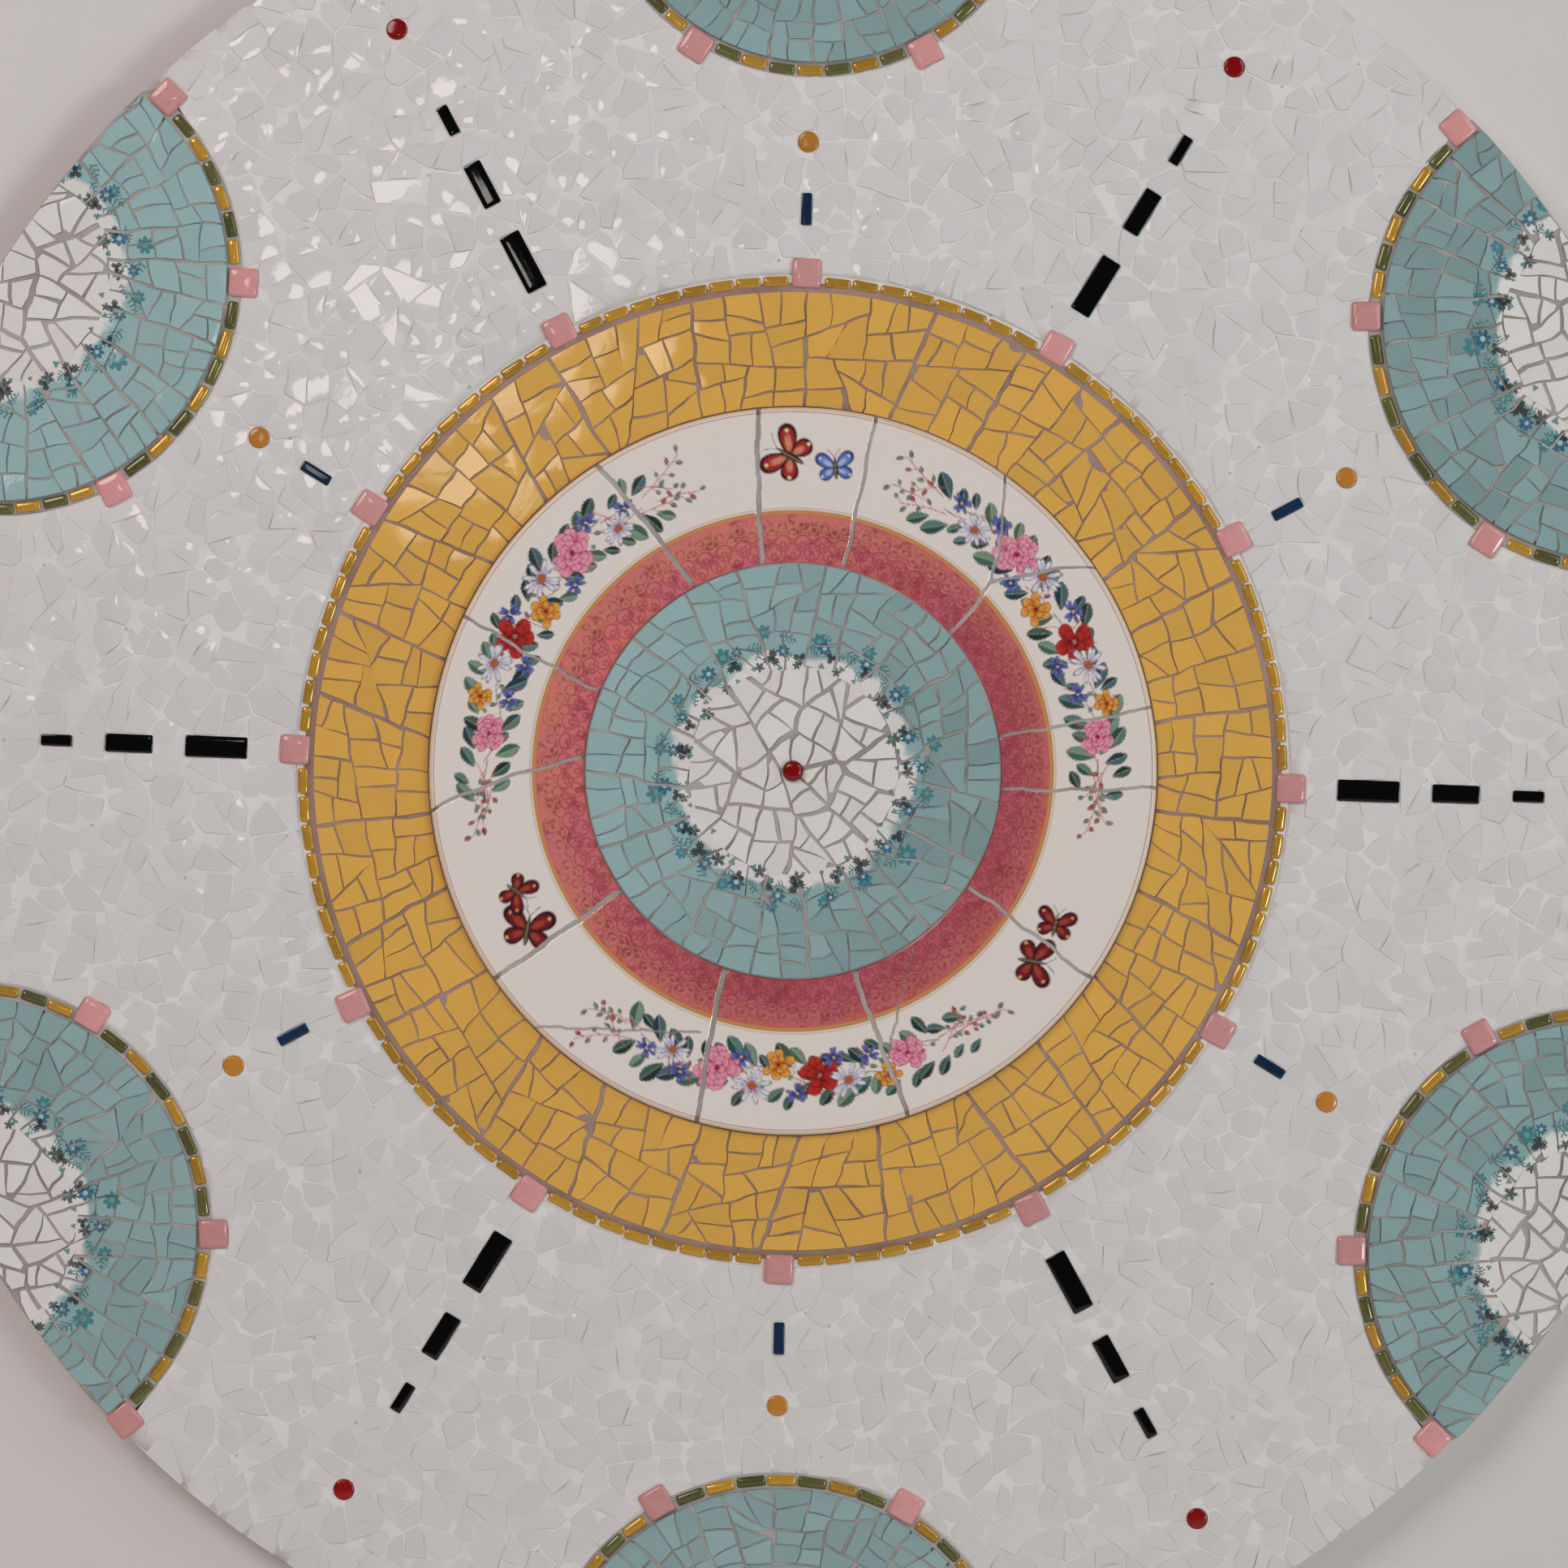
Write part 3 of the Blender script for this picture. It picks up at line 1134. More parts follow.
def paint_plate(points):
    """The colours of the rim of the plate, and how much of it is gilt, for every point."""
    picture = Painting(points, np.array(chosen("porcelain")[:3]))
    everywhere = np.arange(len(points))
    radius = np.linalg.norm(points, axis=1)
    for middle, way, seed in GARLANDS:
        paint_garland(picture, middle, way, seed)
    for degrees, at, turn, size, inks in BUTTERFLIES:
        paint_butterfly(picture, polar(at, degrees), turn, size, inks)
    picture.lay(everywhere, covered(radius - PLATE_GOLD_R + 0.6, 0.7), np.array(chosen("crimson")[:3]))
    amber = np.clip((radius - PLATE_GOLD_R + 3.6) / 3.0, 0, 1) * (radius < PLATE_GOLD_R)
    picture.lay(everywhere, amber * 0.62, paint(196, 118, 62))
    gilt = np.zeros(len(points))
    for at, thick, ink in GILT_LINES:
        line = covered(np.abs(radius - at) - thick / 2, 0.4)
        picture.lay(everywhere, line * 0.9, ink)
        gilt = np.maximum(gilt, line)
    for first, last in HAIRLINES:
        start, end = polar(*first), polar(*last)
        along = end - start
        share = np.clip(dot(points - start, along) / dot(along, along), 0, 1)
        jag = np.sin(share * 23.0) * 0.3 + np.sin(share * 61.0) * 0.15
        across = dot(points - start, turn_left(unit(along))) + jag
        off = np.where((share <= 0) | (share >= 1), 9.0, np.abs(across) - 0.35)
        picture.lay(everywhere, covered(off), paint(128, 116, 110))
        gilt = gilt * (1 - covered(off))
    return picture.colour, gilt


# ---- materials

# Nodes are added to the last of these trees, and a material or a group puts its own there.
TREES = []


def fill(sockets, inputs):
    """Fills sockets, each by its name or number, with values or with other nodes' sockets; an
    underscore in a name stands for a space."""
    for key, value in inputs.items():
        socket = sockets[key.replace("_", " ") if isinstance(key, str) else key]
        if isinstance(value, bpy.types.NodeSocket):
            socket.id_data.links.new(value, socket)
        else:
            socket.default_value = value


def node(kind, inputs=(), **settings):
    """Adds a node, sets its fields and fills its inputs."""
    made = TREES[-1].nodes.new("ShaderNode" + kind)
    for key, value in settings.items():
        setattr(made, key, value)
    fill(made.inputs, dict(inputs))
    return made


def calc(operation, a, b=0.0, c=0.0):
    return node("Math", {0: a, 1: b, 2: c}, operation=operation).outputs[0]


def times(a, b):
    return calc("MULTIPLY", a, b)


def plus(a, b):
    return calc("ADD", a, b)


def less(a, b):
    return calc("SUBTRACT", a, b)


def times_plus(a, b, c):
    """a times b, plus c."""
    return calc("MULTIPLY_ADD", a, b, c)


def mix(factor, a, b):
    return node("Mix", {0: factor, 6: a, 7: b}, data_type="RGBA").outputs[2]


def ramp(value, low, high):
    """0 at low, 1 at high, smooth between."""
    return node("MapRange", {"Value": value, "From Min": low, "From Max": high},
                interpolation_type="SMOOTHSTEP").outputs[0]


def shade(red, green, blue):
    """paint() with the opacity that colour sockets want."""
    return tuple(float(value) for value in paint(red, green, blue)) + (1.0,)


def chosen(key, factor=1.0):
    """A colour chosen in the settings, lightened or deepened by a factor."""
    picked = getattr(bpy.context.scene.mosaic_colours, key)
    return tuple(value * factor for value in picked) + (1.0,)


def point_value(name):
    return node("Attribute", attribute_name=name).outputs["Fac"]


def place_of():
    return node("TexCoord").outputs["Object"]


def noise(where, scale, detail=3.0, rough=0.5):
    return node("TexNoise", {"Vector": where, "Scale": scale, "Detail": detail,
                             "Roughness": rough}).outputs["Fac"]


def new_group(name, inputs, outputs):
    """A node group with named sockets, whose tree goes last: returns its inputs and its outputs."""
    tree = bpy.data.node_groups.new(name, "ShaderNodeTree")
    for key, (kind, value) in inputs.items():
        socket = tree.interface.new_socket(key, in_out="INPUT", socket_type="NodeSocket" + kind)
        socket.default_value = value
    for key, kind in outputs.items():
        tree.interface.new_socket(key, in_out="OUTPUT", socket_type="NodeSocket" + kind)
    TREES.append(tree)
    return tree.nodes.new("NodeGroupInput").outputs, tree.nodes.new("NodeGroupOutput").inputs


GROUPS = {}


def use(maker, **inputs):
    """A shared node group, made the first time it is wanted, with its inputs filled."""
    if maker not in GROUPS:
        maker()
        GROUPS[maker] = TREES.pop()
    return node("Group", inputs, node_tree=GROUPS[maker]).outputs


def glaze_group():
    """Crockery glaze: each shard a little lighter or deeper than the next, faintly cloudy, with fine
    specks, and an orange-peel surface."""
    given, out = new_group("Crockery glaze", {
        "Light": ("Color", (0.8, 0.8, 0.8, 1)), "Deep": ("Color", (0.7, 0.7, 0.7, 1)),
        "Speck": ("Color", (0.2, 0.15, 0.1, 1)), "Specks": ("Float", 0.3), "Gloss": ("Float", 0.1),
        "Edge": ("Color", (0.3, 0.2, 0.1, 1)), "Stain": ("Float", 0.6)},
        {"Color": "Color", "Roughness": "Float", "Height": "Float"})
    where = place_of()
    clouds = times(noise(where, 70.0), 0.5)
    tone = times_plus(point_value("tone"), 0.75, clouds)
    base = mix(tone, given["Deep"], given["Light"])
    specks = times(ramp(noise(where, 1500.0, 2.0), 0.62, 0.74), given["Specks"])
    base = mix(specks, base, given["Speck"])
    worn = times(ramp(point_value("broken"), 0.25, 0.9), given["Stain"])
    wavy = noise(where, 240.0, 2.0)
    fill(out, {"Color": mix(worn, base, given["Edge"]),
               "Roughness": times_plus(wavy, 0.05, given["Gloss"]),
               "Height": times_plus(noise(where, 1700.0, 1.0), 0.08, wavy)})


def grout_group():
    """Grout: sandy and unevenly stained, with the odd pinhole left by an air bubble."""
    given, out = new_group("Grout", {
        "Pale": ("Color", (0.7, 0.7, 0.7, 1)), "Stained": ("Color", (0.4, 0.4, 0.4, 1)),
        "Pinholes": ("Float", 0.5)},
        {"Color": "Color", "Roughness": "Float", "Height": "Float"})
    where = place_of()
    stain = times(ramp(noise(where, 38.0, 5.0, 0.6), 0.35, 0.68), 0.7)
    sand = noise(where, 2400.0, 3.0, 0.7)
    ground = mix(times_plus(sand, 0.3, stain), given["Pale"], given["Stained"])
    bubbles = node("TexVoronoi", {"Vector": where, "Scale": 240.0}).outputs["Distance"]
    rare = ramp(noise(where, 120.0, 1.0), 0.58, 0.64)
    hole = times(times(ramp(bubbles, 0.2, 0.1), rare), given["Pinholes"])
    fill(out, {"Color": mix(hole, ground, (0.02, 0.016, 0.012, 1)),
               "Roughness": times_plus(sand, 0.15, 0.72),
               "Height": times_plus(hole, -3.0, sand)})


def glass_group():
    """Glass colour: deep or light from piece to piece, with fine clouded streaks in each."""
    given, out = new_group("Glass colour", {
        "Light": ("Color", (0.5, 0.5, 0.5, 1)), "Deep": ("Color", (0.3, 0.3, 0.3, 1)),
        "Streaks": ("Float", 0.4), "Gloss": ("Float", 0.06)},
        {"Color": "Color", "Roughness": "Float", "Height": "Float"})
    where = place_of()
    drawn = noise(where, 420.0, 4.0, 0.65)
    tone = times_plus(drawn, given["Streaks"], times(point_value("tone"), 0.6))
    smear = noise(where, 150.0, 2.0)
    fill(out, {"Color": mix(tone, given["Deep"], given["Light"]),
               "Roughness": times_plus(smear, 0.06, given["Gloss"]), "Height": smear})


def new_material(name, **plain):
    """A material with a Principled shader, whose plain values are set straight on it. Its tree goes
    last."""
    made = bpy.data.materials.new(name)
    made.use_nodes = True
    made.node_tree.nodes.clear()
    TREES.append(made.node_tree)
    shader = node("BsdfPrincipled", plain)
    node("OutputMaterial", {"Surface": shader.outputs[0]})
    return made, shader


def dress(shader, looks, strength=0.25, distance=0.0002, base=None):
    """Links a colour, a roughness and a height for the bump to the shader."""
    bump = node("Bump", {"Height": looks["Height"], "Strength": strength, "Distance": distance})
    fill(shader.inputs, {"Base Color": base or looks["Color"], "Roughness": looks["Roughness"],
                         "Normal": bump.outputs[0]})


def glaze_material(name, key, spread, edge, stain, speck, specks, gloss):
    made, shader = new_material(name, IOR=1.5)
    looks = use(glaze_group, Light=chosen(key, 1 + spread), Deep=chosen(key, 1 - spread),
                Speck=shade(*speck), Specks=specks, Gloss=gloss, Edge=shade(*edge), Stain=stain)
    dress(shader, looks, 0.12)
    return made


def grout_material(name, pale, stained, pinholes):
    made, shader = new_material(name, IOR=1.45)
    shader.inputs["Specular IOR Level"].default_value = 0.2
    looks = use(grout_group, Pale=shade(*pale), Stained=shade(*stained), Pinholes=pinholes)
    dress(shader, looks, 0.6, 0.0003)
    return made


def glass_material(name, key, spread, streaks, gloss, metallic=0.0):
    made, shader = new_material(name, IOR=1.52, Metallic=metallic)
    looks = use(glass_group, Light=chosen(key, 1 + spread), Deep=chosen(key, 1 - spread),
                Streaks=streaks, Gloss=gloss)
    dress(shader, looks, 0.15)
    return made


def polar_uv():
    """Radius in millimetres and share of a turn round the dish, from the flat UV map."""
    place = node("UVMap", uv_map="flat").outputs[0]
    split_ = node("SeparateXYZ", {0: place}).outputs
    length = node("VectorMath", {0: place}, operation="LENGTH").outputs["Value"]
    turn = calc("ARCTAN2", split_[1], split_[0])
    return times(length, 1000.0), times_plus(turn, 0.5 / math.pi, 0.5)


def around_group():
    """Places round a circle: parts a circle into Count cells and gives the place inside the cell in
    millimetres, across x and outwards y, with three random numbers for each cell."""
    given, out = new_group("Places round a circle", {
        "Radius": ("Float", 0.0), "Turns": ("Float", 0.0), "Count": ("Float", 20.0),
        "At": ("Float", 40.0), "Shake": ("Float", 1.0), "Seed": ("Float", 0.0)},
        {"X": "Float", "Y": "Float", "A": "Float", "B": "Float", "C": "Float"})
    cell = times(given["Turns"], given["Count"])
    number = calc("FLOOR", cell)
    inside = less(less(cell, number), 0.5)
    seed = times_plus(given["Seed"], 37.0, number)
    chance = node("TexWhiteNoise", {"W": seed}, noise_dimensions="1D").outputs["Color"]
    three = node("SeparateColor", {0: chance}).outputs
    pitch = calc("DIVIDE", times(given["At"], 2 * math.pi), given["Count"])
    shift_x = times(less(three[0], 0.5), given["Shake"])
    shift_y = times(less(three[1], 0.5), given["Shake"])
    fill(out, {"X": times_plus(inside, pitch, shift_x),
               "Y": plus(less(given["Radius"], given["At"]), shift_y),
               "A": three[0], "B": three[1], "C": three[2]})


def sprig_group():
    """Painted sprigs: a lobed figure in each cell round a circle, turned and sized at random. The edge
    lies where the radius meets a cosine of the angle times the number of lobes."""
    given, out = new_group("Painted sprigs", {
        "Radius": ("Float", 0.0), "Turns": ("Float", 0.0), "Count": ("Float", 20.0), "At": ("Float", 40.0),
        "Shake": ("Float", 1.0), "Seed": ("Float", 0.0), "Size": ("Float", 4.0), "Lobes": ("Float", 5.0),
        "Depth": ("Float", 0.5), "Ragged": ("Float", 0.0)},
        {"Cover": "Float", "Eye": "Float"})
    keys = ("Radius", "Turns", "Count", "At", "Shake", "Seed")
    at = use(around_group, **{key: given[key] for key in keys})
    square = times_plus(at["X"], at["X"], times(at["Y"], at["Y"]))
    radius = calc("SQRT", square)
    angle = times_plus(at["C"], 6.28, calc("ARCTAN2", at["Y"], at["X"]))
    lobe = calc("ABSOLUTE", calc("COSINE", times(times(angle, 0.5), given["Lobes"])))
    lobe = calc("POWER", lobe, 0.8)
    fine = times(calc("SINE", times(angle, 17.0)), given["Ragged"])
    share = plus(less(1.0, given["Depth"]), times_plus(lobe, given["Depth"], fine))
    size = times(given["Size"], times_plus(at["A"], 0.3, 0.35))
    fill(out, {"Cover": ramp(less(radius, times(share, size)), 0.15, -0.15),
               "Eye": ramp(less(radius, times(size, 0.3)), 0.12, -0.12)})


def fern_group():
    """Painted fern: a wavy line round a circle with fine leaflets leaning off both sides of it, that
    comes and goes round the circle."""
    given, out = new_group("Painted fern", {
        "Radius": ("Float", 0.0), "Turns": ("Float", 0.0), "At": ("Float", 46.0), "Waves": ("Float", 17.0),
        "Swing": ("Float", 2.0), "Reach": ("Float", 1.8), "Leaflets": ("Float", 210.0),
        "Seed": ("Float", 0.0)},
        {"Cover": "Float"})
    turn = plus(times(given["Turns"], 2 * math.pi), given["Seed"])
    wave = calc("SINE", times(turn, given["Waves"]))
    off = less(less(given["Radius"], given["At"]), times(wave, given["Swing"]))
    away = calc("ABSOLUTE", off)
    lean = times_plus(away, 2.6, times(turn, given["Leaflets"]))
    stroke = ramp(calc("SINE", lean), -0.1, 0.4)
    swell = calc("SINE", times_plus(turn, times(given["Waves"], 1.5), 0.7))
    near = ramp(less(away, times(given["Reach"], swell)), 0.2, -0.2)
    rib = times(ramp(away, 0.35, 0.15), ramp(swell, -0.1, 0.1))
    fill(out, {"Cover": calc("MAXIMUM", times(stroke, near), rib)})


# Ferns of the dish: radius, waves, swing, reach, leaflets, seed, ink and strength.
DISH_FERNS = (
    (49.0, 16.0, 1.6, 2.6, 190.0, 0.0, (62, 104, 108), 0.75),
    (44.6, 19.0, 1.8, 2.0, 230.0, 2.1, (58, 112, 112), 0.85))

# Sprigs of the dish: count, radius, size, lobes, depth, raggedness, seed, ink and colour of the eye.
DISH_SPRIGS = (
    (16.0, 50.5, 6.2, 7.0, 0.45, 0.05, 1.0, (56, 112, 122), (96, 140, 140)),
    (19.0, 46.4, 5.0, 7.0, 0.5, 0.0, 2.0, (46, 88, 116), (150, 178, 176)),
    (21.0, 43.4, 5.6, 3.0, 0.75, 0.14, 3.0, (40, 44, 48), (58, 62, 64)),
    (17.0, 40.8, 4.4, 5.0, 0.7, 0.16, 4.0, (44, 48, 52), (84, 88, 88)),
    (33.0, 39.6, 2.2, 3.0, 0.6, 0.0, 5.0, (84, 124, 122), (84, 124, 122)))


def dish_material():
    """Turquoise crockery: white in the middle of the dish and turquoise round it, with dark sprigs,
    blue daisies and ferns printed where the two colours meet."""
    made, shader = new_material("Turquoise crockery", IOR=1.5)
    looks = use(glaze_group, Light=chosen("turquoise", 1.18), Deep=chosen("turquoise", 0.82),
                Speck=shade(70, 96, 98), Specks=0.35, Gloss=0.05, Edge=shade(86, 98, 98), Stain=0.6)
    white = use(glaze_group, Light=shade(209, 203, 200), Deep=shade(197, 191, 189),
                Speck=shade(150, 136, 124), Specks=0.2, Gloss=0.05, Edge=shade(130, 122, 118), Stain=0.6)
    radius, turns = polar_uv()
    blotch = times_plus(noise(place_of(), 75.0), 16.0, less(radius, 8.0))
    base = mix(point_value("pale"), looks["Color"], chosen("turquoise", 1.68))
    base = mix(ramp(blotch, 42.5, 45.5), white["Color"], base)
    fern = {"Radius": radius, "Turns": turns}
    for at, waves, swing, reach, leaflets, seed, ink, strength in DISH_FERNS:
        cover = use(fern_group, At=at, Waves=waves, Swing=swing, Reach=reach, Leaflets=leaflets,
                    Seed=seed, **fern)["Cover"]
        base = mix(times(cover, strength), base, shade(*ink))
    for count, at, size, lobes, depth, ragged, seed, ink, eye in DISH_SPRIGS:
        spot = use(sprig_group, Count=count, At=at, Shake=5.6, Seed=seed, Size=size, Lobes=lobes,
                   Depth=depth, Ragged=ragged, **fern)
        base = mix(times(spot["Cover"], 0.88), base, shade(*ink))
        base = mix(spot["Eye"], base, shade(*eye))
    dress(shader, looks, base=base)
    return made


FILIGREE_R = 91.0
FILIGREE_UNITS = 72.0
FILIGREE_PITCH = 7.94


def filigree_group():
    """Filigree: even units round the band, each with a scroll of two circles, a garland line and
    beads, for gilding, and a coarser lace of arches, for a darker tone. Distances are in millimetres."""
    given, out = new_group("Filigree", {
        "Radius": ("Float", 0.0), "Turns": ("Float", 0.0), "Units": ("Float", FILIGREE_UNITS)},
        {"Scroll": "Float", "Lace": "Float"})
    at = use(around_group, Radius=given["Radius"], Turns=given["Turns"], Count=given["Units"],
             At=FILIGREE_R, Shake=0.0)
    x, y = at["X"], at["Y"]
    side = calc("ABSOLUTE", x)
    half = FILIGREE_PITCH / 2

    def circle_line(across, down, size, thick):
        dx = less(across[0], across[1])
        dy = less(y, down)
        far = calc("SQRT", times_plus(dx, dx, times(dy, dy)))
        return less(calc("ABSOLUTE", less(far, size)), thick)

    def nearest(distances):
        total = distances[0]
        for distance in distances[1:]:
            total = calc("MINIMUM", total, distance)
        return total

    wave = times(calc("COSINE", times(x, 2 * math.pi / FILIGREE_PITCH)), 0.7)
    line = less(calc("ABSOLUTE", less(y, less(wave, 3.4))), 0.16)
    gilt = nearest([circle_line((x, 0.0), 0.6, 2.5, 0.17), circle_line((x, 0.9), 0.4, 1.2, 0.15),
                    circle_line((side, half), -1.2, 1.3, 0.15), circle_line((side, half), 2.6, 0.5, 0.2),
                    line, circle_line((x, 0.0), -5.2, 0.0, 0.42)])
    lace = nearest([circle_line((x, 0.0), -6.2, 3.0, 0.3), circle_line((side, half), -9.4, 3.2, 0.3),
                    circle_line((x, 0.0), -6.8, 1.0, 0.35), circle_line((side, half), -3.2, 1.9, 0.3),
                    circle_line((x, 0.0), -0.6, 1.6, 0.3), circle_line((side, half), -11.0, 1.0, 0.35)])
    fill(out, {"Scroll": ramp(gilt, 0.12, -0.08), "Lace": ramp(lace, 0.2, -0.1)})


def porcelain_material():
    """Painted porcelain: the colours painted on the points, with gilding where they say so, and on the
    crimson band a marbling, lace, and gilt scrolls that are worn away towards one side."""
    made, shader = new_material("Painted porcelain", IOR=1.5)
    where = place_of()
    painted = node("Attribute", attribute_name="paint").outputs["Color"]
    gilt = point_value("gilt")
    radius, turns = polar_uv()
    band = ramp(radius, PLATE_GOLD_R - 0.9, PLATE_GOLD_R - 1.6)
    turn = times(less(turns, 0.5), 2 * math.pi)
    facing = calc("COSINE", less(turn, math.radians(145)))
    scroll = use(filigree_group, Radius=radius, Turns=turns, Units=FILIGREE_UNITS)
    gilding = times(times(scroll["Scroll"], band),
                    times_plus(ramp(facing, -0.6, 0.7), 0.55, 0.3))
    base = painted
    for strength, ink in (
            (times(ramp(facing, -0.5, 0.9), 0.8), (200, 110, 106)),
            (times(ramp(noise(where, 95.0, 4.0, 0.6), 0.42, 0.62), 0.5), (184, 92, 112)),
            (times(ramp(noise(where, 190.0, 4.0, 0.65), 0.5, 0.66), 0.6), (132, 50, 58)),
            (times(scroll["Lace"], 0.4), (120, 42, 50))):
        base = mix(times(strength, band), base, shade(*ink))
    base = mix(gilding, base, shade(222, 150, 104))
    gold = calc("MAXIMUM", times(gilt, 0.35), times(gilding, 0.35))
    fill(shader.inputs, {"Metallic": gold})
    wavy = noise(where, 120.0, 2.0)
    rubbed = times(ramp(radius, 132.9, 134.0), 0.4)
    dull = plus(rubbed, times_plus(gold, 0.3, 0.05))
    looks = {"Color": base, "Roughness": times_plus(wavy, 0.08, dull), "Height": wavy}
    dress(shader, looks, 0.12)
    return made


def board_material():
    """Backing board: bare fibreboard on the back, skimmed with white grout round the edge."""
    made, shader = new_material("Backing board", IOR=1.45)
    shader.inputs["Specular IOR Level"].default_value = 0.2
    where = place_of()
    drawn = node("Mapping", {"Vector": where, "Scale": (1.0, 1.0, 3.0)}).outputs[0]
    fibre = noise(drawn, 900.0, 4.0, 0.7)
    blotch = noise(where, 14.0, 4.0, 0.6)
    bare = mix(times_plus(fibre, 0.6, times(blotch, 0.4)),
               shade(150, 122, 94), shade(184, 160, 130))
    skim = mix(noise(where, 60.0, 4.0), shade(176, 170, 166), shade(198, 193, 190))
    split_ = node("SeparateXYZ", {0: where}).outputs
    depth = times_plus(noise(where, 80.0), 0.004, times(split_[1], -1.0))
    looks = {"Color": mix(ramp(depth, 0.0022, 0.0034), bare, skim),
             "Roughness": times_plus(fibre, 0.2, 0.7), "Height": fibre}
    dress(shader, looks, 0.4, 0.0003)
    return made


# Every material: what makes it, then its name and its values.
MATERIALS = {
    "white": (glaze_material, "White crockery", "white", 0.05, (160, 151, 147), 0.5, (150, 136, 126), 0.15,
              0.012),
    "yellow": (glaze_material, "Yellow crockery", "yellow", 0.085, (138, 92, 52), 0.8, (160, 104, 40), 0.3,
               0.05),
    "dish": (dish_material,),
    "porcelain": (porcelain_material,),
    "white_grout": (grout_material, "White grout", (210, 205, 203), (194, 188, 185), 0.35),
    "brown_grout": (grout_material, "Brown grout", (156, 131, 124), (128, 102, 94), 0.3),
    "grey_grout": (grout_material, "Grey grout", (168, 160, 156), (132, 124, 120), 0.4),
    "gold": (glass_material, "Gold glass rod", "gold", 0.33, 0.7, 0.08, 0.2),
    "olive": (glass_material, "Olive glass rod", "olive", 0.44, 0.7, 0.08, 0.25),
    "pink": (glass_material, "Pink glass", "pink", 0.2, 0.6, 0.06),
    "black": (glass_material, "Black glass", "black", 0.3, 0.3, 0.03),
    "blue": (glass_material, "Blue glass", "blue", 0.4, 0.6, 0.05),
    "ochre": (glass_material, "Ochre glaze", "ochre", 0.2, 0.5, 0.12),
    "red": (glass_material, "Red glaze", "red", 0.28, 0.5, 0.1),
    "board": (board_material,)}
MADE = {}


def material(key):
    """One of the materials, made once."""
    if key not in MADE:
        maker, *values = MATERIALS[key]
        MADE[key] = maker(*values)
        TREES.pop()
    return MADE[key]


# ---- pieces

def make_board():
    """The board: a flat slab with a fine chamfer round its back, which is a fan about its middle."""
    sides = BOARD_SIDES
    border = circle(PANEL_R, sides)
    low = circle(PANEL_R - BOARD_CHAMFER, sides)
    points, faces = plateau(border, np.zeros(2), BOARD_CHAMFER, level(BOARD_T), 6)
    first = len(points)
    under = np.concatenate([low, np.zeros((sides, 1))], axis=1)
    points = np.concatenate([points, under, np.zeros((1, 3))])
    i = np.arange(sides)
    j = (i + 1) % sides
    chamfer = np.stack([first + i, first + j, j, i], axis=1)
    underside = np.stack([first + j, first + i, np.full(sides, first + sides)], axis=1)
    faces = [*faces[:2], chamfer, underside]
    add_piece("Backing board", points, faces, "board", ["backing_board"], crease=30)


def make_beds():
    """The grounds of grout, from the white one inwards: rings, then the slab under the dish."""
    field_edge = medallion_reach(GROUND_STEPS, MEDALLION_EDGING_R - 0.2)
    field_in, edging_in, yellow_in, dish_r = EDGING_R - 0.4, ROD_R - 0.6, PLATE_R + 0.1, PLATE_IN_R - 0.3
    for name, inner, outer, top, rows, uneven, seed, grout, slot, replaced in (
            ("White ground", field_in, field_edge, level(FIELD_TOP - 0.28), 24, 0.12, 3, "white_grout",
             "white_crockery", ["white_field"]),
            ("Edging ground", edging_in, field_in, level(GROUT_TOP), 8, 0.15, 4, "white_grout",
             "glass_edging", ["ring_edging"]),
            ("Yellow ground", yellow_in, edging_in, level(YELLOW_TOP - 0.35), 12, 0.15, 5, "brown_grout",
             "yellow_crockery", ["yellow_band"]),
            ("Plate ground", dish_r, yellow_in, plate_ground, 20, 0.12, 6, "grey_grout", "porcelain", [])):
        points, faces = ring_bed(inner, outer, GROUND_BASE, top, rows, GROUND_STEPS, uneven, seed)
        add_piece(name, points, faces, grout, replaced)
    top = dish_top((0, 0), DISH_LIP_R, WELL_R, 0.5)
    points, faces = plateau(circle(dish_r, 240), np.zeros(2), GROUND_BASE, top, 24, 0.15, 7)
    add_piece("Dish ground", points, faces, "grey_grout", ["centre_dish"])


def plate_ground(points):
    """The top of the grout between the shards of the plate: just under them, and lower past the rim."""
    radius = np.linalg.norm(points, axis=-1)
    return plate_top(0.45)(points) - np.clip(radius - PLATE_R + 1.2, 0, 1.4) * 1.2


def make_field(settings):
    size = settings.white_size / MM
    cells, rng = field_cells(size * 1.22, size * size * 0.92, settings.joint / MM, 0.65, settings.seed)

    def fit(points):
        return within_ring(points, (0.0, 0.0), EDGING_R + 0.3, PANEL_R - 0.3)

    looks = {"lift": 0.06, "tilt": 0.021, "arch": 0.25, "bevel": 0.12, "bend": 0.35, "smallest": 5.0}
    points, faces, values = crockery(cells, 13, rng, FIELD_TOP - 1.5, level(FIELD_TOP - 0.1), looks, fit)
    add_piece("White crockery", points, faces, "white", ["white_field"], values,
              crease=SHARD_CREASE)


def make_yellow(settings):
    rng = np.random.default_rng(settings.seed + 1)
    inner, outer = PLATE_R + 0.7, YELLOW_R - 0.5
    largest = (settings.yellow_size / MM) ** 2
    cells = ring_cells((0.0, 0.0), inner, outer, 26, largest, 1.2, 0.55, rng)
    cells = open_joints(cells, rng, 0.025, 0.5)
    looks = {"lift": 0.06, "tilt": 0.017, "arch": 0.045, "bevel": 0.2, "bend": 0.45, "smallest": 6.0}
    points, faces, values = crockery(cells, 16, rng, YELLOW_TOP - 1.6, level(YELLOW_TOP), looks,
                                     lambda place: within_ring(place, (0.0, 0.0), inner, outer))
    add_piece("Yellow crockery", points, faces, "yellow", ["yellow_band"],
              values, crease=SHARD_CREASE)


